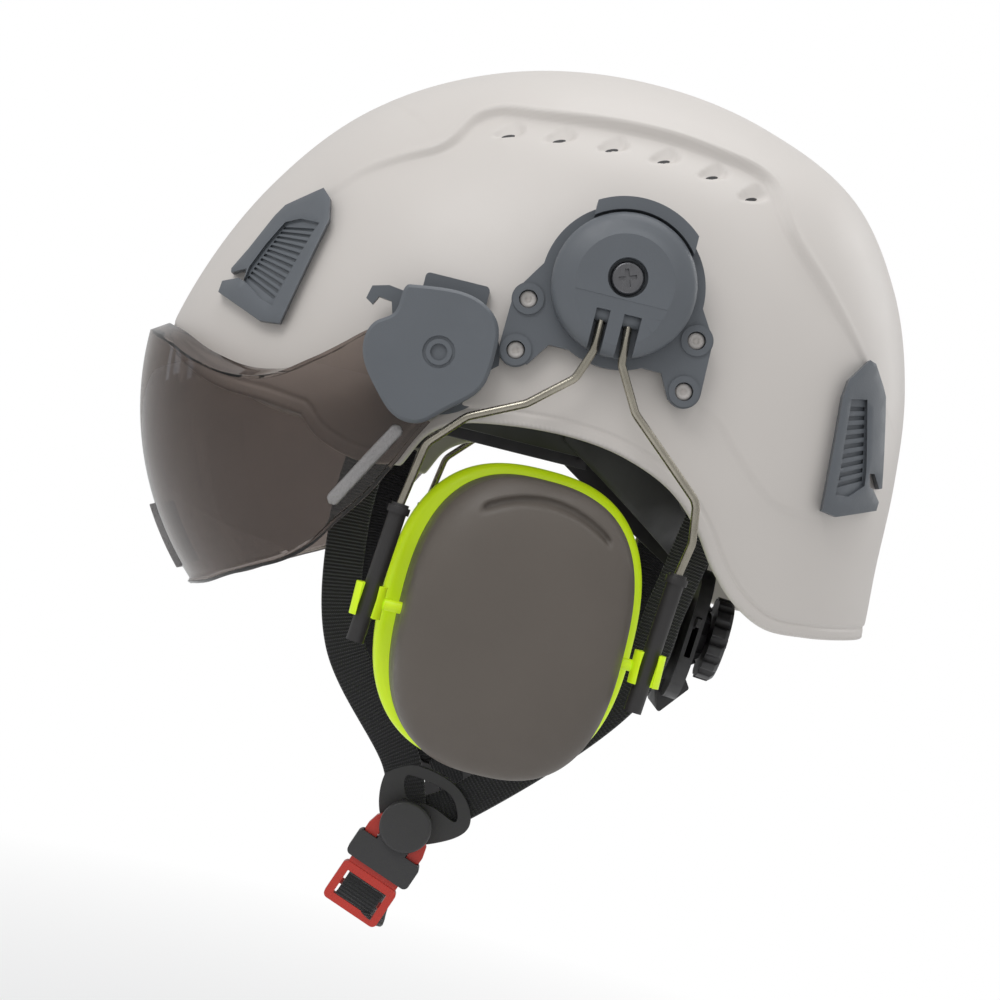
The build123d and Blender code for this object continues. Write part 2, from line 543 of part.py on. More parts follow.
def make_cup():
    """Ring, cup, foam, cushion and the pads that clip on the sleeves."""
    frame = cup_frame()
    ring_back, ring_front = -25.0, -16.0
    ring = extrude(oval(RING_HALF), ring_front - ring_back)
    ring = ring - extrude(Pos(0, 0, -1) * oval(RING_HALF, -13), 20)
    ring = chamfer(ring.edges().group_by(Axis.Z)[-1], 1.2)
    save_sides(frame * Pos(0, 0, ring_back) * solid_of(ring), "muff_ring")
    depth = 33.5
    dome = extrude(oval(CUP_HALF), depth)
    dome = fillet(dome.edges().group_by(Axis.Z)[-1], 15)
    hollow = extrude(Pos(0, 0, -1) * oval(CUP_HALF, -3), depth - 2)
    hollow = fillet(hollow.edges().group_by(Axis.Z)[-1], 12.5)
    cup = frame * Pos(0, 0, ring_front) * solid_of(dome - hollow)
    cup = Part() + cup
    pads = []
    for end, sign in (("front", -1), ("rear", 1)):
        down = SLEEVE_TOPS[end][1] - CUP_PIVOT_Z
        centre = sleeve_point(end, down)
        edge = centre[1] - sign * 5.3
        flank = frame.origin.Y + CUP_MIDDLE[0] + sign * (CUP_HALF[0] - 2.5)
        boss = y_rod(SLEEVE_X, CUP_PIVOT_Z, 4.6, min(edge - sign * 0.5, flank),
                     max(edge - sign * 0.5, flank))
        cup = cup + boss
        pose = sleeve_pose(end, down)
        pad = Pos(*centre) * Box(8.4, 10.6, 11)
        pad = fillet(pad.edges().filter_by(Axis.Z), 3.6)
        pin = y_rod(SLEEVE_X, CUP_PIVOT_Z, 2.0, min(edge, flank), max(edge, flank))
        pad = pad - Pos(SLEEVE_X + 1.6 + 10, centre[1], centre[2]) * Box(20, 5.6, 20)
        pads.append(pad + pin - extrude(pose * Circle(SLEEVE_R + 0.06), 20, both=True))
        cup = cup - y_rod(SLEEVE_X, CUP_PIVOT_Z, 2.06, min(edge, flank) - 9, max(edge, flank) + 9)
    save_sides(solid_of(cup), "muff_cup")
    save_sides(Compound(children=[solid_of(p) for p in pads]), "muff_trunnions")
    foam = frame * Pos(0, 0, 4) * extrude(oval((26, 38)), 7)
    save_sides(foam, "muff_foam")
    cushion = extrude(oval(CUSHION_HALF), 14) - extrude(oval((23, 33)), 40, both=True)
    cushion = fillet(cushion.edges().group_by(Axis.Z)[0], 4)
    save_sides(frame * Pos(0, 0, ring_back - 14) * solid_of(cushion), "muff_cushion")


# ---- chin strap ---------------------------------------------------------------------
def webbing(stations, width=WEB_WIDTH, thick=WEB_THICK):
    """A flat strap through the stations, its width in the side view."""
    faces = []
    spots = [Vector(*s) for s in stations]
    for i, spot in enumerate(spots):
        ahead = spots[min(i + 1, len(spots) - 1)]
        behind = spots[max(i - 1, 0)]
        along = (ahead - behind).normalized()
        across = Vector(1, 0, 0).cross(along).normalized()
        faces.append(Plane(origin=spot, x_dir=across, z_dir=along) * Rectangle(width, thick))
    return solid_of(loft([f.face() for f in faces], ruled=True))


def make_straps():
    """Side straps, their anchors in the shell, and the slider and button below them."""
    strands = [webbing(STRAP_FRONT_ROUTE), webbing(STRAP_REAR_ROUTE)]
    save_sides(Compound(children=strands), "chin_strap_side")
    outside = shell_wall(30, -SHELL_WALL + 0.2)
    anchors = []
    for y, z, x0 in STRAP_ANCHORS:
        block = side_slab(Pos(y, z) * RectangleRounded(20, 12, 4), x0, 104)
        anchors.append(solid_of(block - outside))
    both = anchors + [mirror(a, about=Plane.YZ) for a in anchors]
    save(Compound(children=both), "chin_strap_anchors")
    rim = Spline(*SLIDER_RIM, periodic=True)
    slider = side_slab(make_face(rim) - side_face(SLIDER_WINDOW), *SLIDER_X)
    x, y, z = BUCKLE_AT
    slider = slider - x_disc(y, z, BUTTON_BORE_R, 40, 60)
    save_sides(solid_of(slider), "strap_slider")
    button = fillet(x_disc(y, z, BUTTON_R, x + 3.5, x + 6.5).edges().group_by(Axis.X)[-1], 1.2)
    button = button + x_disc(y, z, BUTTON_SHANK_R, SLIDER_X[0], x + 3.5)
    save(solid_of(button), "strap_button")


def make_buckle():
    """Side-release buckle: its socket, and the two-pronged plug with its ladder."""
    frame = Pos(*BUCKLE_AT) * Rot(-BUCKLE_TILT, 0, 0)
    body = fillet((Pos(0, 0, -14.5) * Box(6.8, 26, 10)).edges().filter_by(Axis.X), 2)
    body = body + Pos(0, 0, -3) * Box(6.8, 12, 20)
    body = body - Pos(0, 0, -16) * Box(3.6, 23.6, 14) - Pos(0, 0, -12) * Box(3.6, 5.6, 13)
    body = body - frame.inverse() * x_disc(BUCKLE_AT[1], BUCKLE_AT[2], BUTTON_BORE_R, 40, 70)
    save(frame * solid_of(body), "buckle_socket")
    plug = Pos(0, 0, -21) * Box(3.2, 20, 2.4) + Pos(0, 0, -14.5) * Box(3.2, 5, 13)
    for side in (-1, 1):
        leg = side_face([(6.6, -21), (6.4, -4), (7.2, -1.4), (9.0, -1.0), (10.6, -2.6), (11.6, -6.5),
                         (11.6, -9),
                         (9.6, -10.4), (9.6, -21)], curved=False)
        leg = side_slab(leg, -1.6, 1.6)
        plug = plug + (leg if side > 0 else mirror(leg, about=Plane.XZ))
    ladder = fillet(Box(4, 22.5, 15.5).edges().filter_by(Axis.X),
                    2) - Box(20, 16.6, 9.6) + Box(1.4, 18, 2.2)
    plug = plug + Pos(0, 0, -29.6) * ladder
    save(frame * solid_of(plug), "buckle_plug")
    end = (frame * Pos(0, 0, -33.6)).position
    loop = webbing([(end.X, end.Y, end.Z), (50, end.Y + 4, end.Z - 5), (26, end.Y + 5, end.Z - 9),
                    (0, end.Y + 5, end.Z - 10), (-28, end.Y + 6, end.Z - 6), (-46, end.Y + 8, end.Z + 6),
                    (-52, -11, -160)])
    wrap = frame * Pos(0, 0, -29.6) * (Box(3.2, 16, 9) - Box(1.5, 30, 2.3))
    save(solid_of(loop + wrap), "chin_strap_lower")
    keeper = Pos(-49.2, -13, -171) * Rot(-12, -28, 0) * (Box(5, 18, 7) - Box(1.8, 14.4, 20))
    save(solid_of(keeper), "strap_keeper")


def main():
    os.makedirs("parts", exist_ok=True)
    make_shell()
    make_lamp_clips()
    make_liner()
    make_cradle()
    make_headband()
    make_nape()
    make_ratchet()
    make_visor()
    make_muff_base()
    make_turret()
    make_wires()
    make_cup()
    make_straps()
    make_buckle()


main()
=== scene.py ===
from math import cos, pi, radians, sin

import bmesh
import bpy
import numpy as np
from mathutils import Matrix, Vector


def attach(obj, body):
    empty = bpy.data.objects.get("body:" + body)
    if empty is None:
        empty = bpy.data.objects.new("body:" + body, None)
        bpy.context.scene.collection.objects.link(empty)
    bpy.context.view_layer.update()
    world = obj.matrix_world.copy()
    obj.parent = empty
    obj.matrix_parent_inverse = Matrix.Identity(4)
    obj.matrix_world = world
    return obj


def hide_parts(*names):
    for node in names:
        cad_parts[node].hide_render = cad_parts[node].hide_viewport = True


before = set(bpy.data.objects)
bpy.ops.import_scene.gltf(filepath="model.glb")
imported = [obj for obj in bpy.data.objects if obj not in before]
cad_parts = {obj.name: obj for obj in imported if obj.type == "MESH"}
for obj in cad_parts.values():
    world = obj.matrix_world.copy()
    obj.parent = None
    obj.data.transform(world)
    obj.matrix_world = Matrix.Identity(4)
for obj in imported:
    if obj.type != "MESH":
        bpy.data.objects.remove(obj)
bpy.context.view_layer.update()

# Forestry helmet, worn level: front faces -Y, the wearer's left is +X, +Z is up.
# Shapes are worked out in millimetres and scaled to metres when a mesh is made.
MM = 0.001
scene = bpy.context.scene

# ---- shared shape tables (the same domes as the CAD part) -----------------------------
SHELL_HUB = (8.0, -25.0)
SHELL_HALF_WIDTH = 110.0
SHELL_WALL = 3.0
SHELL_ARCHES = [
    (-9, 155.0, 2.05), (8, 154.6, 2.05), (22, 154.8, 2.1), (36, 156.8, 2.2), (52, 160.6, 2.3),
    (70, 162.3, 2.35), (90, 163.2, 2.45), (108, 165.0, 2.45), (124, 165.6, 2.4),
    (136, 158.0, 2.35), (150, 147.0, 2.3), (164, 137.3, 2.3), (178, 133.2, 2.25),
    (190, 136.5, 2.2), (204, 142.5, 2.2),
]
VISOR_HUB = (-36.0, 13.0)
VISOR_HALF_WIDTH = 115.0
VISOR_RADIUS = 113.1  # level with the hub
VISOR_FLARE = 0.2526  # growth of the radius for each degree below the level
VISOR_ROUNDNESS = 2.2


# ---- small helpers --------------------------------------------------------------------
def smooth_table(xs, ys, x):
    """A smooth curve through a table's points."""
    xs, ys, x = np.asarray(xs, float), np.asarray(ys, float), np.asarray(x, float)
    slope = np.gradient(ys, xs)
    i = np.clip(np.searchsorted(xs, x, side="right") - 1, 0, len(xs) - 2)
    h = xs[i + 1] - xs[i]
    u = np.clip((x - xs[i]) / h, 0, 1)
    return ((2 * u**3 - 3 * u**2 + 1) * ys[i] + (u**3 - 2 * u**2 + u) * h * slope[i]
            + (-2 * u**3 + 3 * u**2) * ys[i + 1] + (u**3 - u**2) * h * slope[i + 1])


def curve_through(points, count):
    """Evenly spaced points on a smooth open curve through the given ones."""
    p = np.asarray(points, float)
    d = np.r_[0, np.cumsum(np.sqrt(np.linalg.norm(np.diff(p, axis=0), axis=1)))]
    t = np.linspace(0, d[-1], count * 8)
    dense = np.stack([smooth_table(d, p[:, k], t) for k in range(p.shape[1])], 1)
    return even(dense, count)


def even(points, count):
    """The same curve with evenly spaced points."""
    p = np.asarray(points, float)
    s = np.r_[0, np.cumsum(np.linalg.norm(np.diff(p, axis=0), axis=1))]
    t = np.linspace(0, s[-1], count)
    return np.stack([np.interp(t, s, p[:, k]) for k in range(p.shape[1])], 1)


def step(x, low, high):
    """0 before low, 1 after high, smooth between."""
    u = np.clip((np.asarray(x, float) - low) / (high - low), 0, 1)
    return u * u * (3 - 2 * u)


def make_mesh(name, points, faces, smooth=True):
    """A mesh object from points in millimetres."""
    mesh = bpy.data.meshes.new(name)
    mesh.from_pydata([tuple(p) for p in np.asarray(points, float) * MM], [], faces)
    mesh.update()
    if smooth:
        mesh.polygons.foreach_set("use_smooth", [True] * len(mesh.polygons))
    obj = bpy.data.objects.new(name, mesh)
    scene.collection.objects.link(obj)
    return obj


def grid_faces(rows, cols, closed=False, start=0):
    """Quads of a rows by cols grid of points, closed round its columns or not."""
    faces = []
    span = cols if closed else cols - 1
    for r in range(rows - 1):
        for c in range(span):
            a = start + r * cols + c
            b = start + r * cols + (c + 1) % cols
            faces.append((a, b, b + cols, a + cols))
    return faces


def add_modifier(obj, kind, **settings):
    modifier = obj.modifiers.new(kind.title(), kind)
    for key, value in settings.items():
        setattr(modifier, key, value)
    return modifier


def apply_modifiers(obj):
    """Turn a mesh's modifiers into its own points."""
    bpy.context.view_layer.update()
    graph = bpy.context.evaluated_depsgraph_get()
    mesh = bpy.data.meshes.new_from_object(obj.evaluated_get(graph))
    old = obj.data
    obj.modifiers.clear()
    obj.data = mesh
    bpy.data.meshes.remove(old)
    return obj


def mirrored(obj, name):
    """The twin of a piece on the wearer's other side."""
    twin = obj.copy()
    twin.data = obj.data.copy()
    twin.name = name
    twin.data.transform(Matrix.Scale(-1, 4, (1, 0, 0)))
    twin.data.flip_normals()
    scene.collection.objects.link(twin)
    return twin


def place(obj, material, body, slot, *nodes):
    """Give a piece its material and its body, and hide the CAD nodes it stands for. The slot is not used.
    """
    obj.data.materials.clear()
    obj.data.materials.append(material)
    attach(obj, body)
    if nodes:
        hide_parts(*nodes)
    return obj


def frame_point(origin, x_dir, z_dir):
    """A function from local (x, y, z) to helmet points, for a plane's frame."""
    z = np.array(z_dir, float) / np.linalg.norm(z_dir)
    x = np.array(x_dir, float) / np.linalg.norm(x_dir)
    y = np.cross(z, x)
    base = np.array(origin, float)
    return lambda local: base + np.asarray(local, float) @ np.stack([x, y, z])


# ---- materials ------------------------------------------------------------------------
def new_material(name, color, roughness, **sockets):
    material = bpy.data.materials.new(name)
    material.use_nodes = True
    tree = material.node_tree
    shader = tree.nodes["Principled BSDF"]
    shader.inputs["Base Color"].default_value = (*color, 1)
    shader.inputs["Roughness"].default_value = roughness
    for key, value in sockets.items():
        shader.inputs[key.replace("_", " ")].default_value = value
    coords = tree.nodes.new("ShaderNodeTexCoord")
    return material, tree, shader, coords.outputs["Object"]


def noise(tree, vector, scale, detail=3.0, roughness=0.5):
    node = tree.nodes.new("ShaderNodeTexNoise")
    node.inputs["Scale"].default_value = scale
    node.inputs["Detail"].default_value = detail
    node.inputs["Roughness"].default_value = roughness
    tree.links.new(vector, node.inputs["Vector"])
    return node.outputs["Fac"]


def ramp(tree, value, stops):
    node = tree.nodes.new("ShaderNodeValToRGB")
    elements = node.color_ramp.elements
    while len(elements) < len(stops):
        elements.new(0.5)
    for element, (place_at, color) in zip(elements, stops):
        element.position = place_at
        element.color = (*color, 1)
    tree.links.new(value, node.inputs["Fac"])
    return node.outputs["Color"]


def scaled(tree, value, low, high, from_low=0.0, from_high=1.0):
    node = tree.nodes.new("ShaderNodeMapRange")
    node.inputs["From Min"].default_value = from_low
    node.inputs["From Max"].default_value = from_high
    node.inputs["To Min"].default_value = low
    node.inputs["To Max"].default_value = high
    tree.links.new(value, node.inputs["Value"])
    return node.outputs["Result"]


def combine(tree, kind, a, b):
    node = tree.nodes.new("ShaderNodeMath")
    node.operation = kind
    for socket, value in zip(node.inputs, (a, b)):
        if isinstance(value, (int, float)):
            socket.default_value = value
        else:
            tree.links.new(value, socket)
    return node.outputs["Value"]


def bump(tree, shader, height, distance, strength=1.0):
    node = tree.nodes.new("ShaderNodeBump")
    node.inputs["Strength"].default_value = strength
    node.inputs["Distance"].default_value = distance
    tree.links.new(height, node.inputs["Height"])
    tree.links.new(node.outputs["Normal"], shader.inputs["Normal"])
    return node


def shade(color, factor):
    return tuple(min(1.0, c * factor) for c in color)


def tint(tree, shader, value, color, low, high):
    """Colour a surface by a value: low and high each pair a place with a brightness."""
    stops = [(place_at, shade(color, factor)) for place_at, factor in (low, high)]
    tree.links.new(ramp(tree, value, stops), shader.inputs["Base Color"])


def plastic(name, color, roughness, grain=1500.0, depth=0.00003, vary=0.06, wear=0.075, **sockets):
    """Moulded plastic: soft cloudiness, fine grain, and a few duller patches."""
    material, tree, shader, at = new_material(name, color, roughness, **sockets)
    cloud = noise(tree, at, 24.0, 4.0)
    tint(tree, shader, cloud, color, (0.3, 1 - vary), (0.7, 1 + vary))
    worn = noise(tree, at, 90.0, 6.0, 0.65)
    dull = scaled(tree, worn, roughness - wear, roughness + wear, 0.35, 0.65)
    tree.links.new(dull, shader.inputs["Roughness"])
    fine = noise(tree, at, grain, 2.0)
    broad = noise(tree, at, 160.0, 2.0)
    height = combine(tree, "ADD", fine, combine(tree, "MULTIPLY", broad, 0.8))
    bump(tree, shader, height, depth)
    return material


def webbing_material(name, color, pitch=1.3, twill=0.75):
    """Narrow woven polyester: ribs across the strap and a fine twill between them."""
    material, tree, shader, _ = new_material(name, color, 0.78, Sheen_Weight=0.35, Sheen_Roughness=0.45)
    uv = tree.nodes.new("ShaderNodeUVMap").outputs["UV"]
    split = tree.nodes.new("ShaderNodeSeparateXYZ")
    tree.links.new(uv, split.inputs["Vector"])
    along, across = split.outputs["X"], split.outputs["Y"]
    rib = combine(tree, "SINE", combine(tree, "MULTIPLY", along, 2 * pi / pitch), 0)
    diagonal = combine(tree, "ADD", along, across)
    weave = combine(tree, "SINE", combine(tree, "MULTIPLY", diagonal, 2 * pi / twill), 0)
    fibre = noise(tree, uv, 3.0, 4.0)
    height = combine(tree, "ADD", combine(tree, "ADD", rib, combine(tree, "MULTIPLY", weave, 0.45)), fibre)
    bump(tree, shader, height, 0.00018)
    # The colour follows the weave's height: painted shade in the hollows and painted highlight on the ribs,
    # with some random tone from the fibre noise.
    tone = scaled(tree, height, 0.0, 1.0, -1.2, 2.4)
    tint(tree, shader, tone, color, (0.1, 0.55), (0.9, 1.7))
    return material


def knit_material(name, color, pitch=900.0, sheen=0.4):
    """Knitted pad cover: small rounded cells with lint between them."""
    material, tree, shader, at = new_material(name, color, 0.85, Sheen_Weight=sheen, Sheen_Roughness=0.5)
    cells = tree.nodes.new("ShaderNodeTexVoronoi")
    cells.inputs["Scale"].default_value = pitch
    tree.links.new(at, cells.inputs["Vector"])
    lint = noise(tree, at, 300.0, 5.0)
    height = combine(tree, "SUBTRACT", combine(tree, "MULTIPLY", lint, 0.5), cells.outputs["Distance"])
    bump(tree, shader, height, 0.00025)
    # Painted highlight on the tops of the cells and painted shade in the gaps between them.
    tint(tree, shader, cells.outputs["Distance"], color, (0.05, 1.5), (0.7, 0.5))
    return material


def vinyl_material(name, color):
    """Soft vinyl skin of an ear cushion: creased, faintly glossy."""
    material, tree, shader, at = new_material(name, color, 0.42, Coat_Weight=0.1)
    cells = tree.nodes.new("ShaderNodeTexVoronoi")
    cells.feature = "DISTANCE_TO_EDGE"
    cells.inputs["Scale"].default_value = 650.0
    tree.links.new(at, cells.inputs["Vector"])
    crease = noise(tree, at, 70.0, 4.0, 0.7)
    height = combine(tree, "ADD", combine(tree, "MINIMUM", cells.outputs["Distance"], 0.12),
                     combine(tree, "MULTIPLY", crease, 0.9))
    bump(tree, shader, height, 0.0004)
    # The colour follows the crease noise of the bump: painted shade in the creases and painted highlight on
    # the swells between them.
    tint(tree, shader, crease, color, (0.3, 0.8), (0.7, 1.35))
    return material


def metal_material(name, color, roughness=0.24):
    """Drawn stainless wire: bright, with fine lines along it and a few dull patches."""
    material, tree, shader, at = new_material(name, color, roughness, Metallic=1.0)
    drawn = tree.nodes.new("ShaderNodeMapping")
    drawn.inputs["Scale"].default_value = (1.0, 1.0, 0.06)
    tree.links.new(at, drawn.inputs["Vector"])
    lines = noise(tree, drawn.outputs["Vector"], 2600.0, 3.0)
    dull = scaled(tree, lines, roughness - 0.08, roughness + 0.14, 0.3, 0.7)
    tree.links.new(dull, shader.inputs["Roughness"])
    bump(tree, shader, lines, 0.00002)
    cloud = noise(tree, at, 120.0, 3.0)
    tint(tree, shader, cloud, color, (0.3, 0.86), (0.7, 1.06))
    return material


def lens_material(name, color):
    """Smoke-tinted polycarbonate with a faint cloudiness."""
    material, tree, shader, at = new_material(name, color, 0.0, Transmission_Weight=1.0, IOR=1.45)
    smudge = noise(tree, at, 30.0, 4.0, 0.6)
    tint(tree, shader, smudge, color, (0.3, 0.94), (0.7, 1.06))
    return material


def foam_material(name, color):
    """Open-cell foam: small pits all over."""
    material, tree, shader, at = new_material(name, color, 0.95)
    cells = tree.nodes.new("ShaderNodeTexVoronoi")
    cells.inputs["Scale"].default_value = 420.0
    tree.links.new(at, cells.inputs["Vector"])
    bump(tree, shader, cells.outputs["Distance"], 0.0006)
    # Painted shade in the pits and painted highlight on their rims: the colour follows the same cells as
    # the bump.
    tint(tree, shader, cells.outputs["Distance"], color, (0.0, 0.5), (0.6, 1.4))
    return material


SHELL = plastic("shell_white", (0.70, 0.66, 0.625), 0.42, grain=900.0, depth=0.000006, vary=0.008,
                wear=0.03,
                Coat_Weight=0.06, Coat_Roughness=0.3)
SLATE = plastic("slate_plastic", (0.13, 0.143, 0.16), 0.42, depth=0.00004)
BLACK = plastic("black_plastic", (0.046, 0.045, 0.047), 0.42)
CUP = plastic("cup_plastic", (0.128, 0.11, 0.094), 0.5, grain=2200.0, depth=0.00004, vary=0.05)
# Lime plastic that glows faintly in its own colour: painted light, an emission that makes it brighter than
# the lamps alone would.
LIME = plastic("lime_plastic", (0.6, 0.82, 0.01), 0.36, vary=0.05, Subsurface_Weight=0.08,
               Subsurface_Scale=0.002,
               Emission_Color=(0.5, 0.7, 0.01, 1), Emission_Strength=0.32)
RED = plastic("red_plastic", (0.62, 0.045, 0.03), 0.34, vary=0.07)
FROST = plastic("frosted_plastic", (0.3, 0.29, 0.29), 0.3, grain=1100.0, depth=0.0006, vary=0.25)
LINER = foam_material("liner_foam", (0.05, 0.05, 0.053))
SOFT_FOAM = foam_material("soft_foam", (0.05, 0.05, 0.052))
KNIT = knit_material("pad_knit", (0.04, 0.042, 0.046))
WEB = webbing_material("strap_webbing", (0.014, 0.014, 0.016))
CRADLE_WEB = webbing_material("cradle_webbing", (0.03, 0.032, 0.036), 1.6, 0.9)
VINYL = vinyl_material("cushion_vinyl", (0.02, 0.02, 0.022))
STEEL = metal_material("stainless_wire", (0.44, 0.41, 0.34))
RUBBER = plastic("black_rubber", (0.03, 0.028, 0.028), 0.5, grain=1800.0, depth=0.00003)
LENS = lens_material("smoke_lens", (0.33, 0.28, 0.255))
SCREW = metal_material("dark_screw_steel", (0.2, 0.2, 0.21), 0.3)


# ---- domes ----------------------------------------------------------------------------
def shell_shape(theta):
    """Mid-plane radius and roundness of the shell's arch at an angle in degrees."""
    angles, radii, rounds = zip(*SHELL_ARCHES)
    return smooth_table(angles, radii, theta), smooth_table(angles, rounds, theta)


def fan(y, z):
    """Fan angle in degrees, and reach, of side-view points from the shell's hub."""
    dy, dz = SHELL_HUB[0] - y, z - SHELL_HUB[1]
    theta = np.degrees(np.arctan2(dz, dy)) % 360
    return np.where(theta > 300, theta - 360, theta), np.hypot(dy, dz)


def dome_point(hub, radius, roundness, half_width, theta, phi):
    """Points of a dome at fan angle theta and lean phi, both in degrees."""
    lean = np.radians(phi)
    r = ((np.abs(np.cos(lean)) / radius) ** roundness
         + (np.abs(np.sin(lean)) / half_width) ** roundness) ** (-1 / roundness)
    reach = r * np.cos(lean)
    across = np.radians(theta)
    return np.stack([r * np.sin(lean), hub[0] - reach * np.cos(across),
                     hub[1] + reach * np.sin(across)], -1)


def shell_side(yz, offset=0.0):
    """Points on the shell's left outer face above side-view points."""
    yz = np.asarray(yz, float)
    theta, reach = fan(yz[..., 0], yz[..., 1])
    radius, roundness = shell_shape(theta)
    share = np.clip(reach / (radius + offset), 0, 1)
    x = (SHELL_HALF_WIDTH + offset) * (1 - share**roundness) ** (1 / roundness)
    return np.stack([x, yz[..., 0], yz[..., 1]], -1)


def distance_to_path(points, path):
    """Distance to a 3-D path, the share along it, and which side in the side view."""
    best = np.full(len(points), 1e9)
    along = np.zeros(len(points))
    side = np.zeros(len(points))
    total = len(path) - 1
    for i in range(total):
        a, b = path[i], path[i + 1]
        d = b - a
        t = np.clip((points - a) @ d / (d @ d), 0, 1)
        away = points - (a + t[:, None] * d)
        r = np.linalg.norm(away, axis=1)
        cross = d[1] * away[:, 2] - d[2] * away[:, 1]
        near = r < best
        best = np.where(near, r, best)
        along = np.where(near, (i + t) / total, along)
        side = np.where(near, np.sign(cross), side)
    return best, along, side


# ---- shell ----------------------------------------------------------------------------
BRIM = [(-170, 8), (-146, 5), (-134, -4.5), (-114, -12.7), (-92, -14.5), (-78, -16)]
BRIM_DIP = [(-78, -16), (-71, -22), (-56, -26.5), (-41, -25)]
EAR_ARCH = [(-41, -25), (-35, -13.5), (-26, -7), (-8, -3.2), (14, -2), (32, -4.2), (50, -11),
            (62, -21), (72, -34), (82, -43.3), (95, -49.5), (112, -49.5), (140, -46.4), (170, -44)]
SPINE_EDGE = [(-92, 58), (-80.2, 70.7), (-68, 78.3), (-55, 85), (-50.5, 90), (-45, 100),
              (-38, 104.4), (-23, 105.8), (-0.5, 108), (22, 108.8), (40, 107.5), (56, 105),
              (62, 101), (67.5, 91), (73, 83), (88.7, 68.2), (107.9, 49.5)]
REAR_CREASE = [(50.9, 18.2), (59.7, 14.1), (68.6, 5.6), (77.7, -2.1), (87, -8), (96.7, -9.2), (108.9, -7.1)]
VENT_TILT = radians(38)
VENTS = [(-33.7, 97.7), (-15.7, 99.9), (3.1, 100.8), (21.8, 101.3), (39.7, 100.2), (55.0, 96.2)]


def rim_half():
    """The rim's left half as surface points, in two runs that meet behind the ear."""
    front = np.vstack([curve_through(BRIM, 400), curve_through(BRIM_DIP, 120)[1:]])
    arch = curve_through(EAR_ARCH, 700)
    runs = []
    for run in (front, arch):
        theta, reach = fan(run[:, 0], run[:, 1])
        inside = reach < shell_shape(theta)[0] * 0.99999
        runs.append(shell_side(run[inside]))
    front, arch = runs
    front[0, 0] = 0.0
    arch[-1, 0] = 0.0
    split = int(np.argmin(np.abs(arch[:, 1] - 92)))
    return front[::-1], arch[:split + 1], arch[split:]


def shell_grid(columns, rows):
    """A grid of points on the left half of the shell, whose edges follow the rim."""
    left, bottom, right = rim_half()
    bottom = even(bottom, columns)
    left, right = even(left, rows), even(right, rows)
    ends = [fan(corner[1], corner[2])[0] for corner in (left[-1], right[-1])]
    theta = np.linspace(ends[0], ends[1], 600)
    radius, roundness = shell_shape(theta)
    top = even(dome_point(SHELL_HUB, radius, roundness, SHELL_HALF_WIDTH, theta, 0 * theta), columns)
    top[0], top[-1] = left[-1], right[-1]
    u = np.linspace(0, 1, columns)[None, :, None]
    v = np.linspace(0, 1, rows)[:, None, None]
    edges = (1 - v) * bottom[None] + v * top[None] + (1 - u) * left[:, None] + u * right[:, None]
    corners = ((1 - u) * (1 - v) * bottom[0] + u * (1 - v) * bottom[-1]
               + (1 - u) * v * top[0] + u * v * top[-1])
    grid = edges - corners
    theta, reach = fan(grid[..., 1], grid[..., 2])
    phi = np.degrees(np.arctan2(grid[..., 0], reach))
    radius, roundness = shell_shape(theta)
    surface = dome_point(SHELL_HUB, radius, roundness, SHELL_HALF_WIDTH, theta, phi)
    surface[-1, :, 0] = 0.0
    return surface


def dome_normals(points):
    """Outward normals of the shell's plain dome at points on its left half."""
    dy, dz = SHELL_HUB[0] - points[..., 1], points[..., 2] - SHELL_HUB[1]
    theta, reach = fan(points[..., 1], points[..., 2])
    radius, power = shell_shape(theta)
    reach = np.maximum(reach, 1e-6)
    across = (np.abs(points[..., 0]) / SHELL_HALF_WIDTH) ** (power - 1) / SHELL_HALF_WIDTH
    outward = (reach / radius) ** (power - 1) / radius
    n = np.stack([across, -outward * dy / reach, outward * dz / reach], -1)
    return n / np.linalg.norm(n, axis=-1, keepdims=True)


def shell_relief(points):
    """How far each shell point stands out of the plain dome."""
    relief = np.zeros(len(points))
    edge = curve_through(SPINE_EDGE, 120)
    distance, along, side = distance_to_path(points, shell_side(edge))
    strength = smooth_table([0, 0.1, 0.2, 0.8, 0.9, 1.0], [0, 0.6, 1, 1, 0.7, 0.2], along)
    signed = distance * side
    below = 1 - step(signed, -1.9, 1.3)
    relief -= 1.15 * strength * below * np.exp(-((signed / 15) ** 2))
    relief += 1.1 * strength * (1 - below) * np.exp(-((signed / 32) ** 2))
    relief += 0.3 * strength * np.exp(-(((signed - 1.6) / 1.5) ** 2))
    crease = shell_side(curve_through(REAR_CREASE, 60))
    distance, along, side = distance_to_path(points, crease)
    fade = np.sin(np.clip(along, 0.02, 0.98) * pi) ** 0.5
    relief -= 0.9 * fade * step(-side * distance, -1.5, 1.5) * np.exp(-((distance / 14) ** 2))
    return relief


def vent_shape(y, z, points):
    """Place of points along and across a vent's scoop, and how far out they are."""
    away = points - shell_side((y, z))
    c, s = cos(VENT_TILT), sin(VENT_TILT)
    along = away[:, 1] * c + away[:, 2] * s
    across = -away[:, 1] * s + away[:, 2] * c
    return along, across, np.linalg.norm(away, axis=1)


def vent_relief(points):
    """Depth of the vents' drop-shaped scoops, which deepen towards their low edge."""
    depth = np.zeros(len(points))
    for y, z in VENTS:
        along, across, far = vent_shape(y, z, points)
        width = np.clip(2.5 + 0.3 * along, 0.6, 4.0)
        shape = np.abs(along / 5.4) ** 2.6 + np.abs(across / width) ** 2.6
        inside = np.where(far < 13, 1 - step(shape, 0.6, 1.35), 0)
        depth += inside * np.clip(1.05 - 0.28 * across, 0.25, 1.6)
    return depth


def shell_height(points):
    """How far the finished outer face stands out of the plain dome."""
    return shell_relief(points) - vent_relief(points)


RIM_GROOVE = (3.6, 0.75, 0.55)  # distance in from the rim, half width, depth
RIM_ROUND = 1.3  # how far the rounded lip stands past the rim


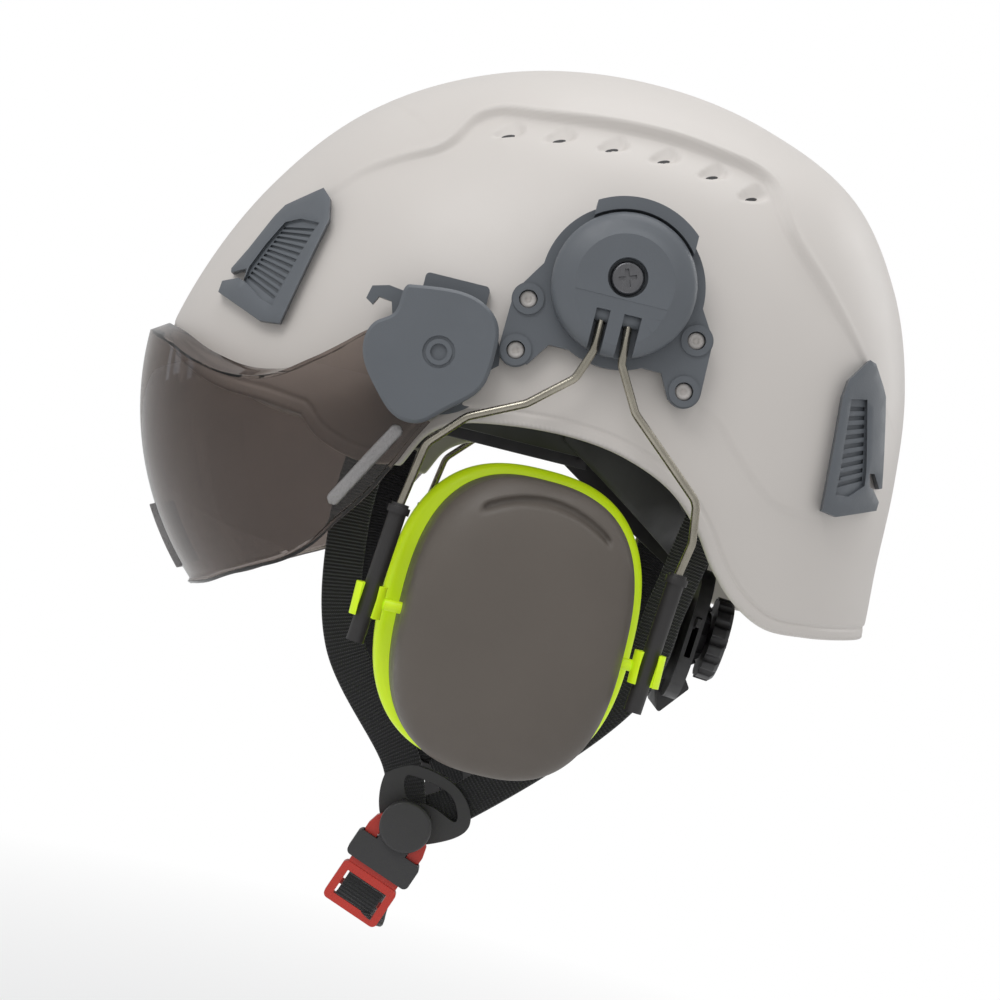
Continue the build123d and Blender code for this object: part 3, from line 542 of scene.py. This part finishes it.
def make_shell():
    """The shell: an outer face with its relief, a plain inner face, and a rounded lip."""
    columns, rows = 420, 250
    grid = shell_grid(columns, rows)
    flat = grid.reshape(-1, 3)
    normals = dome_normals(flat)
    inner = flat - normals * SHELL_WALL
    outer = flat + normals * shell_height(flat)[:, None]
    rim = [(r, 0) for r in range(rows - 1, -1, -1)] + [(0, c) for c in range(1, columns)]
    rim += [(r, columns - 1) for r in range(1, rows)]
    rim = np.array([r * columns + c for r, c in rim])
    nearest = np.full(len(flat), 99.0)
    for chunk in np.array_split(rim[::4], 24):
        gap = np.linalg.norm(flat[:, None] - flat[chunk][None], axis=-1).min(1)
        nearest = np.minimum(nearest, gap)
    inset, spread, depth = RIM_GROOVE
    groove = np.exp(-(((nearest - inset) / spread) ** 2))
    groove += 0.35 * (1 - step(nearest, inset - 0.2, inset + 0.8))
    outer = outer - normals * (depth * groove * (nearest > 0.01))[:, None]
    on_middle = np.arange((rows - 1) * columns, rows * columns)
    outer[on_middle, 0] = 0.0
    inner[on_middle, 0] = 0.0
    edge_out, edge_in = outer[rim], inner[rim]
    run = np.gradient(flat[rim], axis=0)
    away = np.cross(run, normals[rim])
    away /= np.maximum(np.linalg.norm(away, axis=1, keepdims=True), 1e-9)
    centre = np.array([0, SHELL_HUB[0], SHELL_HUB[1] + 40])
    if ((flat[rim] - centre) * away).sum() < 0:
        away = -away
    middle, half = (edge_out + edge_in) / 2, (edge_out - edge_in) / 2
    lips = []
    for k in range(1, 6):
        turn = pi * k / 6
        lips.append(middle + half * cos(turn) + away * (RIM_ROUND * sin(turn)))
    for lip in lips:
        lip[0, 0] = lip[-1, 0] = 0.0
    points = np.vstack([outer, inner] + lips)
    size = rows * columns
    faces = grid_faces(rows, columns)
    faces += [tuple(size + i for i in reversed(f)) for f in grid_faces(rows, columns)]
    loops = [rim] + [2 * size + k * len(rim) + np.arange(len(rim)) for k in range(5)] + [size + rim]
    for a, b in zip(loops[:-1], loops[1:]):
        faces += [(int(a[i]), int(b[i]), int(b[i + 1]), int(a[i + 1])) for i in range(len(rim) - 1)]
    shift = len(points)
    twin = [tuple(shift + i for i in reversed(f)) for f in faces]
    obj = make_mesh("helmet_shell", np.vstack([points, points * (-1, 1, 1)]), faces + twin)
    add_modifier(obj, "WELD", merge_threshold=0.00002)
    apply_modifiers(obj)
    tidy = bmesh.new()
    tidy.from_mesh(obj.data)
    bmesh.ops.recalc_face_normals(tidy, faces=tidy.faces)
    tidy.to_mesh(obj.data)
    tidy.free()
    place(obj, SHELL, "helmet", "shell_plastic", "shell")
    return obj


def add_stack(points, faces, rings, side):
    """Add a stack of closed rings, capped at both ends, on the left (1) or right (-1)."""
    start, count = len(points), len(rings[0])
    points.extend(tuple(p * (side, 1, 1)) for ring in rings for p in ring)
    added = grid_faces(len(rings), count, closed=True, start=start)
    last = start + count * (len(rings) - 1)
    added += [tuple(range(start + count - 1, start - 1, -1)), tuple(range(last, last + count))]
    faces.extend(added if side > 0 else [tuple(reversed(f)) for f in added])


def make_vent_shade_plugs():
    """Black plugs along the deep edge of each scoop: painted shade that stands in for the dark seen through
    an open slot.
    """
    points, faces = [], []
    turns = np.arange(24) * 2 * pi / 24
    along = -0.4 + 2.4 * np.cos(turns)
    across = -1.35 - 0.16 * along + 0.62 * np.sin(turns)
    c, s = cos(VENT_TILT), sin(VENT_TILT)
    for side in (1, -1):
        for y, z in VENTS:
            base = shell_side(np.stack([y + along * c - across * s, z + along * s + across * c], 1))
            low = base + dome_normals(base) * -2.9
            high = base + dome_normals(base) * (shell_height(base) + 0.16)[:, None]
            add_stack(points, faces, [low, high], side)
    obj = make_mesh("shell_vent_shade_plugs", points, faces, smooth=False)
    return place(obj, BLACK, "helmet", "shell_plastic")


# Studs of the shell that fill the four holes of each muff plate.
PLATE_MIDDLE = (17.0, 29.0)  # (y, z)
PLATE_HALF_SPACING = (28.75, 8.7)
STUD_PROFILE = [(2.9, 105.6), (2.9, 110.7), (2.7, 111.15), (2.3, 111.35), (1.2, 111.3),
                (1.0, 110.7), (0.2, 110.6)]  # radius, x


def make_bosses():
    """The white studs, each a turned shape with a dimple."""
    points, faces = [], []
    turns = np.arange(28) * 2 * pi / 28
    for side in (1, -1):
        for row in (-1, 1):
            for column in (-1, 1):
                y = PLATE_MIDDLE[0] + PLATE_HALF_SPACING[0] * row
                z = PLATE_MIDDLE[1] + PLATE_HALF_SPACING[1] * column
                rings = [np.stack([np.full(28, x), y + r * np.cos(turns), z + r * np.sin(turns)], 1)
                         for r, x in STUD_PROFILE]
                add_stack(points, faces, rings, side)
    obj = make_mesh("shell_bosses", points, faces)
    return place(obj, SHELL, "helmet", "shell_plastic")


# ---- visor ----------------------------------------------------------------------------
LENS_TOP = [(0, 5.7), (22.7, 6.9), (33.4, 9.0), (44.5, 14.1), (55, 19.2), (60, 20.2), (63, 19.6),
            (67.3, 16.7), (71, 12.7), (74.4, 6.1), (80, -14)]
LENS_LOW = [(0, 52.3), (15.8, 53.2), (26.1, 55.6), (34.9, 58.2), (40.5, 61), (47.3, 65.7),
            (52.6, 68.7), (57.9, 70.8), (64.1, 75), (70.9, 80), (77.1, 88), (80, 96)]


def lens_point(phi, below, offset=0.0):
    """A point of the visor's outer face: lean across, and degrees below the level."""
    radius = VISOR_RADIUS + VISOR_FLARE * below + offset
    fan_angle = -np.asarray(below, float)
    return dome_point(VISOR_HUB, radius, VISOR_ROUNDNESS, VISOR_HALF_WIDTH + offset, fan_angle, phi)


def make_lens():
    """The smoke lens, with a lip that turns in along its top and a bead along its foot."""
    columns, rows = 181, 60
    phi = np.linspace(-79, 79, columns)
    top = smooth_table(*zip(*LENS_TOP), np.abs(phi))
    low = smooth_table(*zip(*LENS_LOW), np.abs(phi))
    lines = []
    lip = 1 - step(np.abs(phi), 58, 73)
    edge = lens_point(phi, top)
    for share in (1.0, 0.66, 0.33, 0.1):
        sideways = -np.sign(phi) * 3.4 * np.minimum(np.abs(phi) / 40, 1)
        inward = np.stack([sideways, np.full(columns, 6.0), np.full(columns, 4.2)], -1)
        lines.append(edge + inward * (share * lip)[:, None])
    for i in range(rows):
        lines.append(lens_point(phi, top + (low - top) * i / (rows - 1)))
    for drop, stand in ((0.12, 0.35), (0.22, 0.85), (0.3, 1.35)):
        lines.append(lens_point(phi, low + drop, stand))
    grid = np.stack(lines)
    outward = [tuple(reversed(f)) for f in grid_faces(len(lines), columns)]
    obj = make_mesh("visor_lens_glass", grid.reshape(-1, 3), outward)
    add_modifier(obj, "SOLIDIFY", thickness=0.0014, offset=-1.0, use_even_offset=True)
    add_modifier(obj, "BEVEL", width=0.0004, segments=2, limit_method="ANGLE", angle_limit=radians(60))
    apply_modifiers(obj)
    place(obj, LENS, "visor", "smoke_lens", "visor_lens")
    return obj


def lens_side(y, z, offset=0.0):
    """Points of the visor's outer face on the wearer's left, above side-view points."""
    dy, dz = VISOR_HUB[0] - y, z - VISOR_HUB[1]
    radius = VISOR_RADIUS - VISOR_FLARE * np.degrees(np.arctan2(dz, dy)) + offset
    share = np.clip(np.hypot(dy, dz) / radius, 0, 1)
    x = (VISOR_HALF_WIDTH + offset) * (1 - share**VISOR_ROUNDNESS) ** (1 / VISOR_ROUNDNESS)
    return np.stack([x, y, z], -1)


def make_grips():
    """Frosted grip strips near the visor's rear lower edges: raised bars with round ends."""
    start, end = np.array([-42.6, -13.6]), np.array([-60.2, -44.2])
    along = (end - start) / np.linalg.norm(end - start)
    across = np.array([-along[1], along[0]])
    length = np.linalg.norm(end - start)
    run = np.linspace(0, 1, 48)
    rows = []
    for k in range(11):
        t = -1 + 2 * k / 10
        near_end = np.minimum(run, 1 - run) * length / 2.2
        half = 2.3 * np.sqrt(np.clip(1 - (1 - np.clip(near_end, 0, 1)) ** 2, 0.02, 1))
        at = start + run[:, None] * (end - start) + (t * half)[:, None] * across
        rise = 1.0 * np.sqrt(max(0.0, 1 - t**4)) * np.clip(near_end, 0.1, 1) ** 0.5
        rows.append(lens_side(at[:, 0], at[:, 1]) + np.stack([0.12 + rise, 0 * rise, 0 * rise], -1))
    for sign, name in ((1, "left"), (-1, "right")):
        grid = np.stack(rows) * (sign, 1, 1)
        faces = grid_faces(len(rows), len(run))
        if sign < 0:
            faces = [tuple(reversed(f)) for f in faces]
        obj = make_mesh(f"visor_grip_{name}", grid.reshape(-1, 3), faces)
        add_modifier(obj, "SOLIDIFY", thickness=0.0005, offset=-1.0)
        apply_modifiers(obj)
        place(obj, FROST, "visor", "frosted_grip", "visor_grips")


# ---- ear muffs ------------------------------------------------------------------------
CUP_YAW = radians(6)
CUP_FRAME = frame_point((113.0, 8.4, -72.0), (-sin(CUP_YAW), cos(CUP_YAW), 0),
                        (cos(CUP_YAW), sin(CUP_YAW), 0))
CUP_MIDDLE = (1.5, 2.5)


def oval_ring(half, power, count=120, grow=0.0, lift=0.0):
    """A rounded outline in the cup's own plane."""
    t = np.linspace(0, 2 * pi, count, endpoint=False)
    c, s = np.cos(t), np.sin(t)
    a, b = half[0] + grow, half[1] + grow
    r = (np.abs(c / a) ** power + np.abs(s / b) ** power) ** (-1 / power)
    return np.stack([CUP_MIDDLE[0] + r * c, CUP_MIDDLE[1] + lift + r * s], 1)


def lofted(rings, name, cap_first=False, cap_last=False):
    """A skin through closed rings of local points, in the cup's frame."""
    count = len(rings[0])
    points = CUP_FRAME(np.vstack(rings))
    faces = grid_faces(len(rings), count, closed=True)
    if cap_first:
        faces.append(tuple(range(count - 1, -1, -1)))
    if cap_last:
        start = count * (len(rings) - 1)
        faces.append(tuple(range(start, start + count)))
    return make_mesh(name, points, faces)


def make_cup_dome():
    """The outer cup: straight flank, round shoulder, gently domed face with a groove."""
    half = (38.0, 50.5)
    count = 240
    rings = []
    base, face = -15.8, 17.3
    profile = [(1.0, base), (0.998, -11), (0.994, -6), (0.985, -0.5)]
    for i in range(1, 46):
        t = i / 46 * pi / 2
        share = cos(t) ** 0.5
        rise = sin(t) ** 0.66
        profile.append((0.985 * share, -0.5 + (face + 0.5) * rise))
    for scale, w in profile:
        flat = oval_ring(half, 2.65, count)
        ring = (flat - CUP_MIDDLE) * scale + CUP_MIDDLE
        u, v = ring[:, 0] - CUP_MIDDLE[0], ring[:, 1] - CUP_MIDDLE[1]
        arc_v = 43.0 - 6.2 * (u / 20) ** 2
        across = np.exp(-(((v - arc_v) / 1.5) ** 4))
        ends = 1 - step(np.abs(u - 1.0), 20.5, 22.5)
        groove = 2.4 * across * ends * (v > 0)
        rings.append(np.column_stack([ring, w - groove]))
    obj = lofted(rings, "ear_cup_left", cap_last=True)
    add_modifier(obj, "SOLIDIFY", thickness=0.0022, offset=-1.0)
    return apply_modifiers(obj)


def make_ring():
    """Lime bezel between cup and cushion, with a rounded outer edge."""
    outer, inner = (44.0, 52.5), (31.0, 41.0)
    section = [(0.0, -24.8), (0.0, -24.8), (-0.2, -22), (0.0, -19.5), (-0.5, -17.6), (-1.6, -16.4),
               (-3.2, -15.9), (-7.5, -15.2), (-9.5, -15.0), (-13.0, -15.0)]
    rings = [np.column_stack([oval_ring(inner, 2.6, 160, lift=1.5), np.full(160, -24.8)])]
    for inset, w in section:
        flat = oval_ring(outer, 2.55, 160, inset, 1.5)
        rings.append(np.column_stack([flat, np.full(160, w)]))
    rings.append(rings[0].copy())
    obj = lofted(rings, "ear_ring_left")
    add_modifier(obj, "WELD", merge_threshold=0.00001)
    return apply_modifiers(obj)


def make_cushion():
    """Ear cushion: a soft vinyl ring that swells between its seams."""
    outer, inner = (40.6, 50.0), (23.5, 33.5)
    rings = []
    for i in range(28):
        t = 2 * pi * i / 28
        mid, half = ((outer[0] + inner[0]) / 2, (outer[1] + inner[1]) / 2), (outer[0] - inner[0]) / 2
        grow = half * np.sign(cos(t)) * abs(cos(t)) ** 0.75
        w = -32.2 + 6.6 * np.sign(sin(t)) * abs(sin(t)) ** 0.75
        flat = oval_ring(mid, 2.45, 140, grow)
        wave = 0.35 * np.sin(np.linspace(0, 2 * pi, 140, endpoint=False) * 9 + 3 * t) * (0.5 - 0.5 * sin(t))
        rings.append(np.column_stack([flat, w + wave * (t > pi)]))
    rings.append(rings[0].copy())
    obj = lofted(rings, "ear_cushion_left")
    add_modifier(obj, "WELD", merge_threshold=0.00001)
    return apply_modifiers(obj)


def make_foam():
    rings = []
    for inset, w in ((0, 4.2), (0, 4.2), (-0.3, 9.5), (-1.2, 10.6), (-3.0, 10.8), (-12, 10.6)):
        rings.append(np.column_stack([oval_ring((26, 38), 2.5, 80, inset), np.full(80, w)]))
    obj = lofted(rings, "ear_foam_left", cap_first=True, cap_last=True)
    return obj


def make_muffs():
    pieces = [
        (make_cup_dome(), CUP, "cup_plastic", "muff_cup"),
        (make_ring(), LIME, "lime_plastic", "muff_ring"),
        (make_cushion(), VINYL, "cushion_skin", "muff_cushion"),
        (make_foam(), SOFT_FOAM, "foam", "muff_foam"),
    ]
    for piece, material, slot, node in pieces:
        twin = mirrored(piece, piece.name.replace("left", "right"))
        for obj, side in ((piece, "left"), (twin, "right")):
            place(obj, material, f"{side}_ear_cup", slot, f"{node}_{side}")


# ---- straps ---------------------------------------------------------------------------
def strap_mesh(name, stations, width, thick, across_of=None):
    """A woven strap along a smooth path, with rounded selvedges and lengthwise UVs."""
    path = np.asarray(stations, float)
    length = np.linalg.norm(np.diff(path, axis=0), axis=1).sum()
    count = max(12, int(length / 1.5))
    path = curve_through(path, count)
    along = np.gradient(path, axis=0)
    along /= np.linalg.norm(along, axis=1, keepdims=True)
    if across_of is None:
        across = np.cross([1.0, 0, 0], along)
    else:
        across = np.cross(np.cross(along, across_of), along)
    across /= np.linalg.norm(across, axis=1, keepdims=True)
    out = np.cross(along, across)
    section = []
    half, deep = width / 2, thick / 2
    for t, d in ((-1, 0), (-0.97, 0.75), (-0.88, 1), (-0.45, 0.92), (0, 0.9), (0.45, 0.92),
                 (0.88, 1), (0.97, 0.75), (1, 0), (0.97, -0.75), (0.88, -1), (0.45, -0.92),
                 (0, -0.9), (-0.45, -0.92), (-0.88, -1), (-0.97, -0.75)):
        section.append((t * half, d * deep))
    rows = [path + a * across + b * out for a, b in section]
    grid = np.stack(rows, 1)
    n = len(section)
    faces = grid_faces(count, n, closed=True)
    faces.append(tuple(range(n - 1, -1, -1)))
    faces.append(tuple(range(n * (count - 1), n * count)))
    obj = make_mesh(name, grid.reshape(-1, 3), faces)
    layer = obj.data.uv_layers.new(name="UVMap")
    run = np.r_[0, np.cumsum(np.linalg.norm(np.diff(path, axis=0), axis=1))]
    for loop in obj.data.loops:
        i = loop.vertex_index
        layer.data[loop.index].uv = (run[i // n], section[i % n][0] + half)
    return obj


STRAP_FRONT = [(91, -52, -17), (78, -54, -50), (66, -46, -92), (53.3, -16.5, -130), (52.9, -10.5, -145.5)]
STRAP_REAR = [(84, 66, -19), (70, 62, -50), (62, 56, -84), (51.6, 9, -138.5), (50.9, -3.5, -147.5)]


# The webbing first crosses the bar of the buckle's ladder: (x, z) stations in the buckle's frame.
BUCKLE_AT = (57.4, -9.3, -151.0)
BUCKLE_TILT = radians(20)
STRAP_WRAP = [(0.9, -25.0), (1.9, -26.6), (2.1, -29.6), (1.9, -32.6), (0.6, -34.6)]
STRAP_LOWER = [(54.6, -19.0, -186.0), (50, -16.8, -187.6), (26, -15.8, -191.6), (0, -15.8, -192.6),
               (-28, -14.8, -188.6), (-46, -12.8, -176.6), (-52, -11, -160)]


def make_lower_strap():
    """The strap under the chin, from the ladder's bar to the far slider."""
    x, y, z = BUCKLE_AT
    c, s = cos(BUCKLE_TILT), sin(BUCKLE_TILT)
    wrap = [(x + out, y + down * s, z + down * c) for out, down in STRAP_WRAP]
    strap = strap_mesh("chin_strap_lower_web", wrap + STRAP_LOWER, 15.0, 1.5, across_of=(0, c, -s))
    place(strap, WEB, "chin_release", "webbing", "chin_strap_lower")


def arch_path(half_y, half_z, plane, centre, floor):
    """Points over an upright half ellipse that stop at a floor height."""
    turn = np.linspace(0, pi, 200)
    a, z = half_y * np.cos(turn), half_z * np.sin(turn)
    keep = z > floor
    a, z = a[keep] + centre, z[keep]
    flat = np.zeros_like(a)
    return np.stack([flat, a, z] if plane == "yz" else [a, flat, z], 1)


def make_cradle():
    """The crossed webbing straps under the crown."""
    over, beside = arch_path(111.4, 93.4, "yz", 2, 12), arch_path(90.4, 91.0, "xz", 0, 12)
    length = strap_mesh("cradle_web_lengthwise", over, 18.0, 1.2, across_of=(1, 0, 0))
    across = strap_mesh("cradle_web_crosswise", beside, 18.0, 1.2, across_of=(0, 1, 0))
    place(length, CRADLE_WEB, "helmet", "webbing", "cradle_strap_lengthwise")
    place(across, CRADLE_WEB, "helmet", "webbing", "cradle_strap_crosswise")


def make_straps():
    for route, label in ((STRAP_FRONT, "front"), (STRAP_REAR, "rear")):
        left = strap_mesh(f"chin_strap_{label}_left", route, 14.0, 1.6)
        right = mirrored(left, f"chin_strap_{label}_right")
        place(left, WEB, "helmet", "webbing", "chin_strap_side_left")
        place(right, WEB, "helmet", "webbing", "chin_strap_side_right")


# ---- pads -----------------------------------------------------------------------------
def inflated(node, name, voxel, shrink, cap, pressure=4.0):
    """A pad swollen by a cloth run from a slightly smaller copy of its CAD solid."""
    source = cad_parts[node]
    obj = bpy.data.objects.new(name, source.data.copy())
    obj.data.materials.clear()
    obj.data.transform(source.matrix_world)
    scene.collection.objects.link(obj)
    add_modifier(obj, "REMESH", mode="VOXEL", voxel_size=voxel)
    add_modifier(obj, "SMOOTH", factor=0.5, iterations=2)
    add_modifier(obj, "DISPLACE", strength=-shrink, mid_level=0.0)
    apply_modifiers(obj)
    start = np.array([v.co for v in obj.data.vertices])
    cloth = add_modifier(obj, "CLOTH")
    cloth.settings.use_pressure = True
    cloth.settings.uniform_pressure_force = pressure
    cloth.settings.effector_weights.gravity = 0
    for number in range(1, 21):
        scene.frame_set(number)
    apply_modifiers(obj)
    scene.frame_set(1)
    end = np.array([v.co for v in obj.data.vertices])
    move = end - start
    length = np.linalg.norm(move, axis=1, keepdims=True)
    end = start + move * np.minimum(1, cap / np.maximum(length, 1e-9))
    obj.data.vertices.foreach_set("co", end.ravel())
    add_modifier(obj, "SUBSURF", levels=1, render_levels=1)
    apply_modifiers(obj)
    obj.data.polygons.foreach_set("use_smooth", [True] * len(obj.data.polygons))
    return obj


def press_seams(obj, seam_depth):
    """Press sewn channels into a pad along its normals, by a function of each point."""
    obj.data.update()
    points = np.array([v.co for v in obj.data.vertices]) / MM
    normals = np.array([v.normal for v in obj.data.vertices])
    points = points - normals * seam_depth(points)[:, None]
    obj.data.vertices.foreach_set("co", (points * MM).ravel())
    obj.data.update()


def channel(distance, half_width=1.1):
    return np.exp(-((distance / half_width) ** 2))


def make_pads():
    """Brow, nape and crown pads: knitted covers over foam, with sewn channels."""
    brow = inflated("brow_pad", "brow_pad_soft", 0.0018, 0.0006, 0.0011)
    press_seams(brow, lambda p: 0.9 * sum(channel(np.degrees(np.arctan2(p[:, 0], -p[:, 1])) - a, 0.9)
                                          for a in (-32, -16, 0, 16, 32)))
    nape = inflated("nape_pad", "nape_pad_soft", 0.002, 0.0006, 0.0012)
    press_seams(nape, lambda p: 0.9 * sum(channel(p[:, 0] - a) for a in (-24, -8, 8, 24)))
    crown = inflated("crown_pad", "crown_pad_soft", 0.0024, 0.0008, 0.0016)
    press_seams(crown, lambda p: 1.1 * sum(channel(p[:, 0] - a, 1.3) for a in (-18, 0, 18)))
    for obj, body, node in ((brow, "helmet", "brow_pad"), (nape, "nape_cradle", "nape_pad"),
                            (crown, "helmet", "crown_pad")):
        place(obj, KNIT, body, "pad_fabric", node)


# ---- CAD nodes that keep their own shape ----------------------------------------------
NODE_LOOKS = {
    "headband": BLACK, "headband_rivets": BLACK, "cradle_lugs": BLACK, "lamp_clips_front": SLATE,
    "lamp_clips_rear": SLATE, "visor_pivot_pins": STEEL, "chin_strap_anchors": BLACK,
    "strap_button": BLACK, "buckle_socket": BLACK, "buckle_plug": RED, "strap_keeper": BLACK,
    "nape_yoke": BLACK, "ratchet_cover": BLACK, "ratchet_knob": BLACK, "ratchet_pinion": BLACK,
    "ratchet_rack_left": BLACK, "ratchet_rack_right": BLACK, "impact_liner": LINER,
    "visor_lift_tab": FROST,
}
for side in ("left", "right"):
    NODE_LOOKS.update({
        f"visor_bracket_{side}": SLATE, f"visor_cap_{side}": SLATE, f"muff_base_{side}": SLATE,
        f"muff_turret_{side}": SLATE, f"muff_swing_pin_{side}": STEEL, f"muff_screw_{side}": SCREW,
        f"muff_arm_block_{side}": SLATE, f"muff_wires_{side}": STEEL, f"muff_sleeves_{side}": RUBBER,
        f"muff_trunnions_{side}": LIME, f"strap_slider_{side}": BLACK,
    })


def dress_nodes():
    for node, material in NODE_LOOKS.items():
        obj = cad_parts[node]
        obj.data.materials.clear()
        obj.data.materials.append(material)
        add_modifier(obj, "WELD", merge_threshold=0.000005)
        add_modifier(obj, "BEVEL", width=0.0004, segments=2, limit_method="ANGLE", angle_limit=radians(38),
                     harden_normals=True)


# ---- studio ---------------------------------------------------------------------------
PHOTO_TILT = radians(14)
CAMERA_AT = (0.750, -0.00475, -0.0293)


def add_area(name, location, target, size, power, color=(1, 1, 1)):
    light = bpy.data.lights.new(name, "AREA")
    light.shape = "RECTANGLE"
    light.size, light.size_y = size
    light.energy = power
    light.color = color
    obj = bpy.data.objects.new(name, light)
    scene.collection.objects.link(obj)
    obj.location = location
    aim = Vector(target) - Vector(location)
    obj.rotation_euler = aim.to_track_quat("-Z", "Y").to_euler()
    return obj


def make_studio():
    data = bpy.data.cameras.new("camera")
    data.lens = 69.2
    data.sensor_width = 36.0
    camera = bpy.data.objects.new("camera", data)
    scene.collection.objects.link(camera)
    c, s = cos(PHOTO_TILT), sin(PHOTO_TILT)
    right, up, back = Vector((0, c, s)), Vector((0, -s, c)), Vector((1, 0, 0))
    turn = Matrix((right, up, back)).transposed().to_4x4()
    camera.matrix_world = Matrix.Translation(CAMERA_AT) @ turn
    scene.camera = camera
    make_world()
    add_area("key", (0.85, -0.55, 0.95), (0, 0, 0.02), (0.7, 0.6), 4.6)
    add_area("top", (0.0, 0.1, 1.1), (0, 0, 0), (0.8, 0.8), 3.0)
    add_area("rim", (-0.5, 0.9, 0.5), (0, 0, 0), (0.5, 0.8), 2.0)
    for x, y, z, wide in ((-0.42, -0.95, 0.0, 0.05), (-0.3, -0.99, 0.01, 0.09),
                          (-0.12, -1.02, -0.02, 0.06)):
        add_area("window", (x, y, z), (0, -0.1, -0.03), (wide, 0.24), 0.3 * wide, (0.75, 0.85, 1.0))
    make_floor()
    scene.view_settings.view_transform = "Standard"


def make_world():
    """A white surround, a softer sky for the light it gives: brighter above than below."""
    world = bpy.data.worlds.new("studio")
    scene.world = world
    world.use_nodes = True
    tree = world.node_tree
    sky = tree.nodes["Background"]
    split = tree.nodes.new("ShaderNodeSeparateXYZ")
    tree.links.new(tree.nodes.new("ShaderNodeTexCoord").outputs["Generated"], split.inputs["Vector"])
    tone = ramp(tree, scaled(tree, split.outputs["Z"], 0, 1, -1, 1),
                [(0.0, (0.44, 0.43, 0.42)), (0.45, (0.47, 0.465, 0.46)), (0.62, (0.54, 0.54, 0.54)),
                 (1.0, (0.66, 0.67, 0.68))])
    tree.links.new(tone, sky.inputs["Color"])
    white = tree.nodes.new("ShaderNodeBackground")
    white.inputs["Color"].default_value = (1, 1, 1, 1)
    seen = tree.nodes.new("ShaderNodeLightPath").outputs["Is Camera Ray"]
    mix = tree.nodes.new("ShaderNodeMixShader")
    tree.links.new(seen, mix.inputs[0])
    tree.links.new(sky.outputs[0], mix.inputs[1])
    tree.links.new(white.outputs[0], mix.inputs[2])
    tree.links.new(mix.outputs[0], tree.nodes["World Output"].inputs["Surface"])


FLOOR_Z = -420
FLOOR_HALF = 6000


def make_floor():
    """A pale floor well below the helmet, which fades into the white surround."""
    corners = [(x * FLOOR_HALF, y * FLOOR_HALF, FLOOR_Z) for x, y in ((-1, -1), (1, -1), (1, 1), (-1, 1))]
    floor = make_mesh("floor", corners, [(0, 1, 2, 3)], smooth=False)
    material, tree, shader, at = new_material("floor_paint", (0.86, 0.86, 0.86), 0.8)
    length = tree.nodes.new("ShaderNodeVectorMath")
    length.operation = "LENGTH"
    tree.links.new(at, length.inputs[0])
    far = scaled(tree, length.outputs["Value"], 0, 1, 0.35, 1.1)
    seen = tree.nodes.new("ShaderNodeLightPath").outputs["Is Camera Ray"]
    glow = tree.nodes.new("ShaderNodeEmission")
    mix = tree.nodes.new("ShaderNodeMixShader")
    tree.links.new(combine(tree, "MULTIPLY", far, seen), mix.inputs[0])
    tree.links.new(shader.outputs[0], mix.inputs[1])
    tree.links.new(glow.outputs[0], mix.inputs[2])
    tree.links.new(mix.outputs[0], tree.nodes["Material Output"].inputs["Surface"])
    floor.data.materials.append(material)


make_studio()
make_shell()
make_vent_shade_plugs()
make_bosses()
make_lens()
make_grips()
make_muffs()
make_straps()
make_lower_strap()
make_cradle()
make_pads()
dress_nodes()
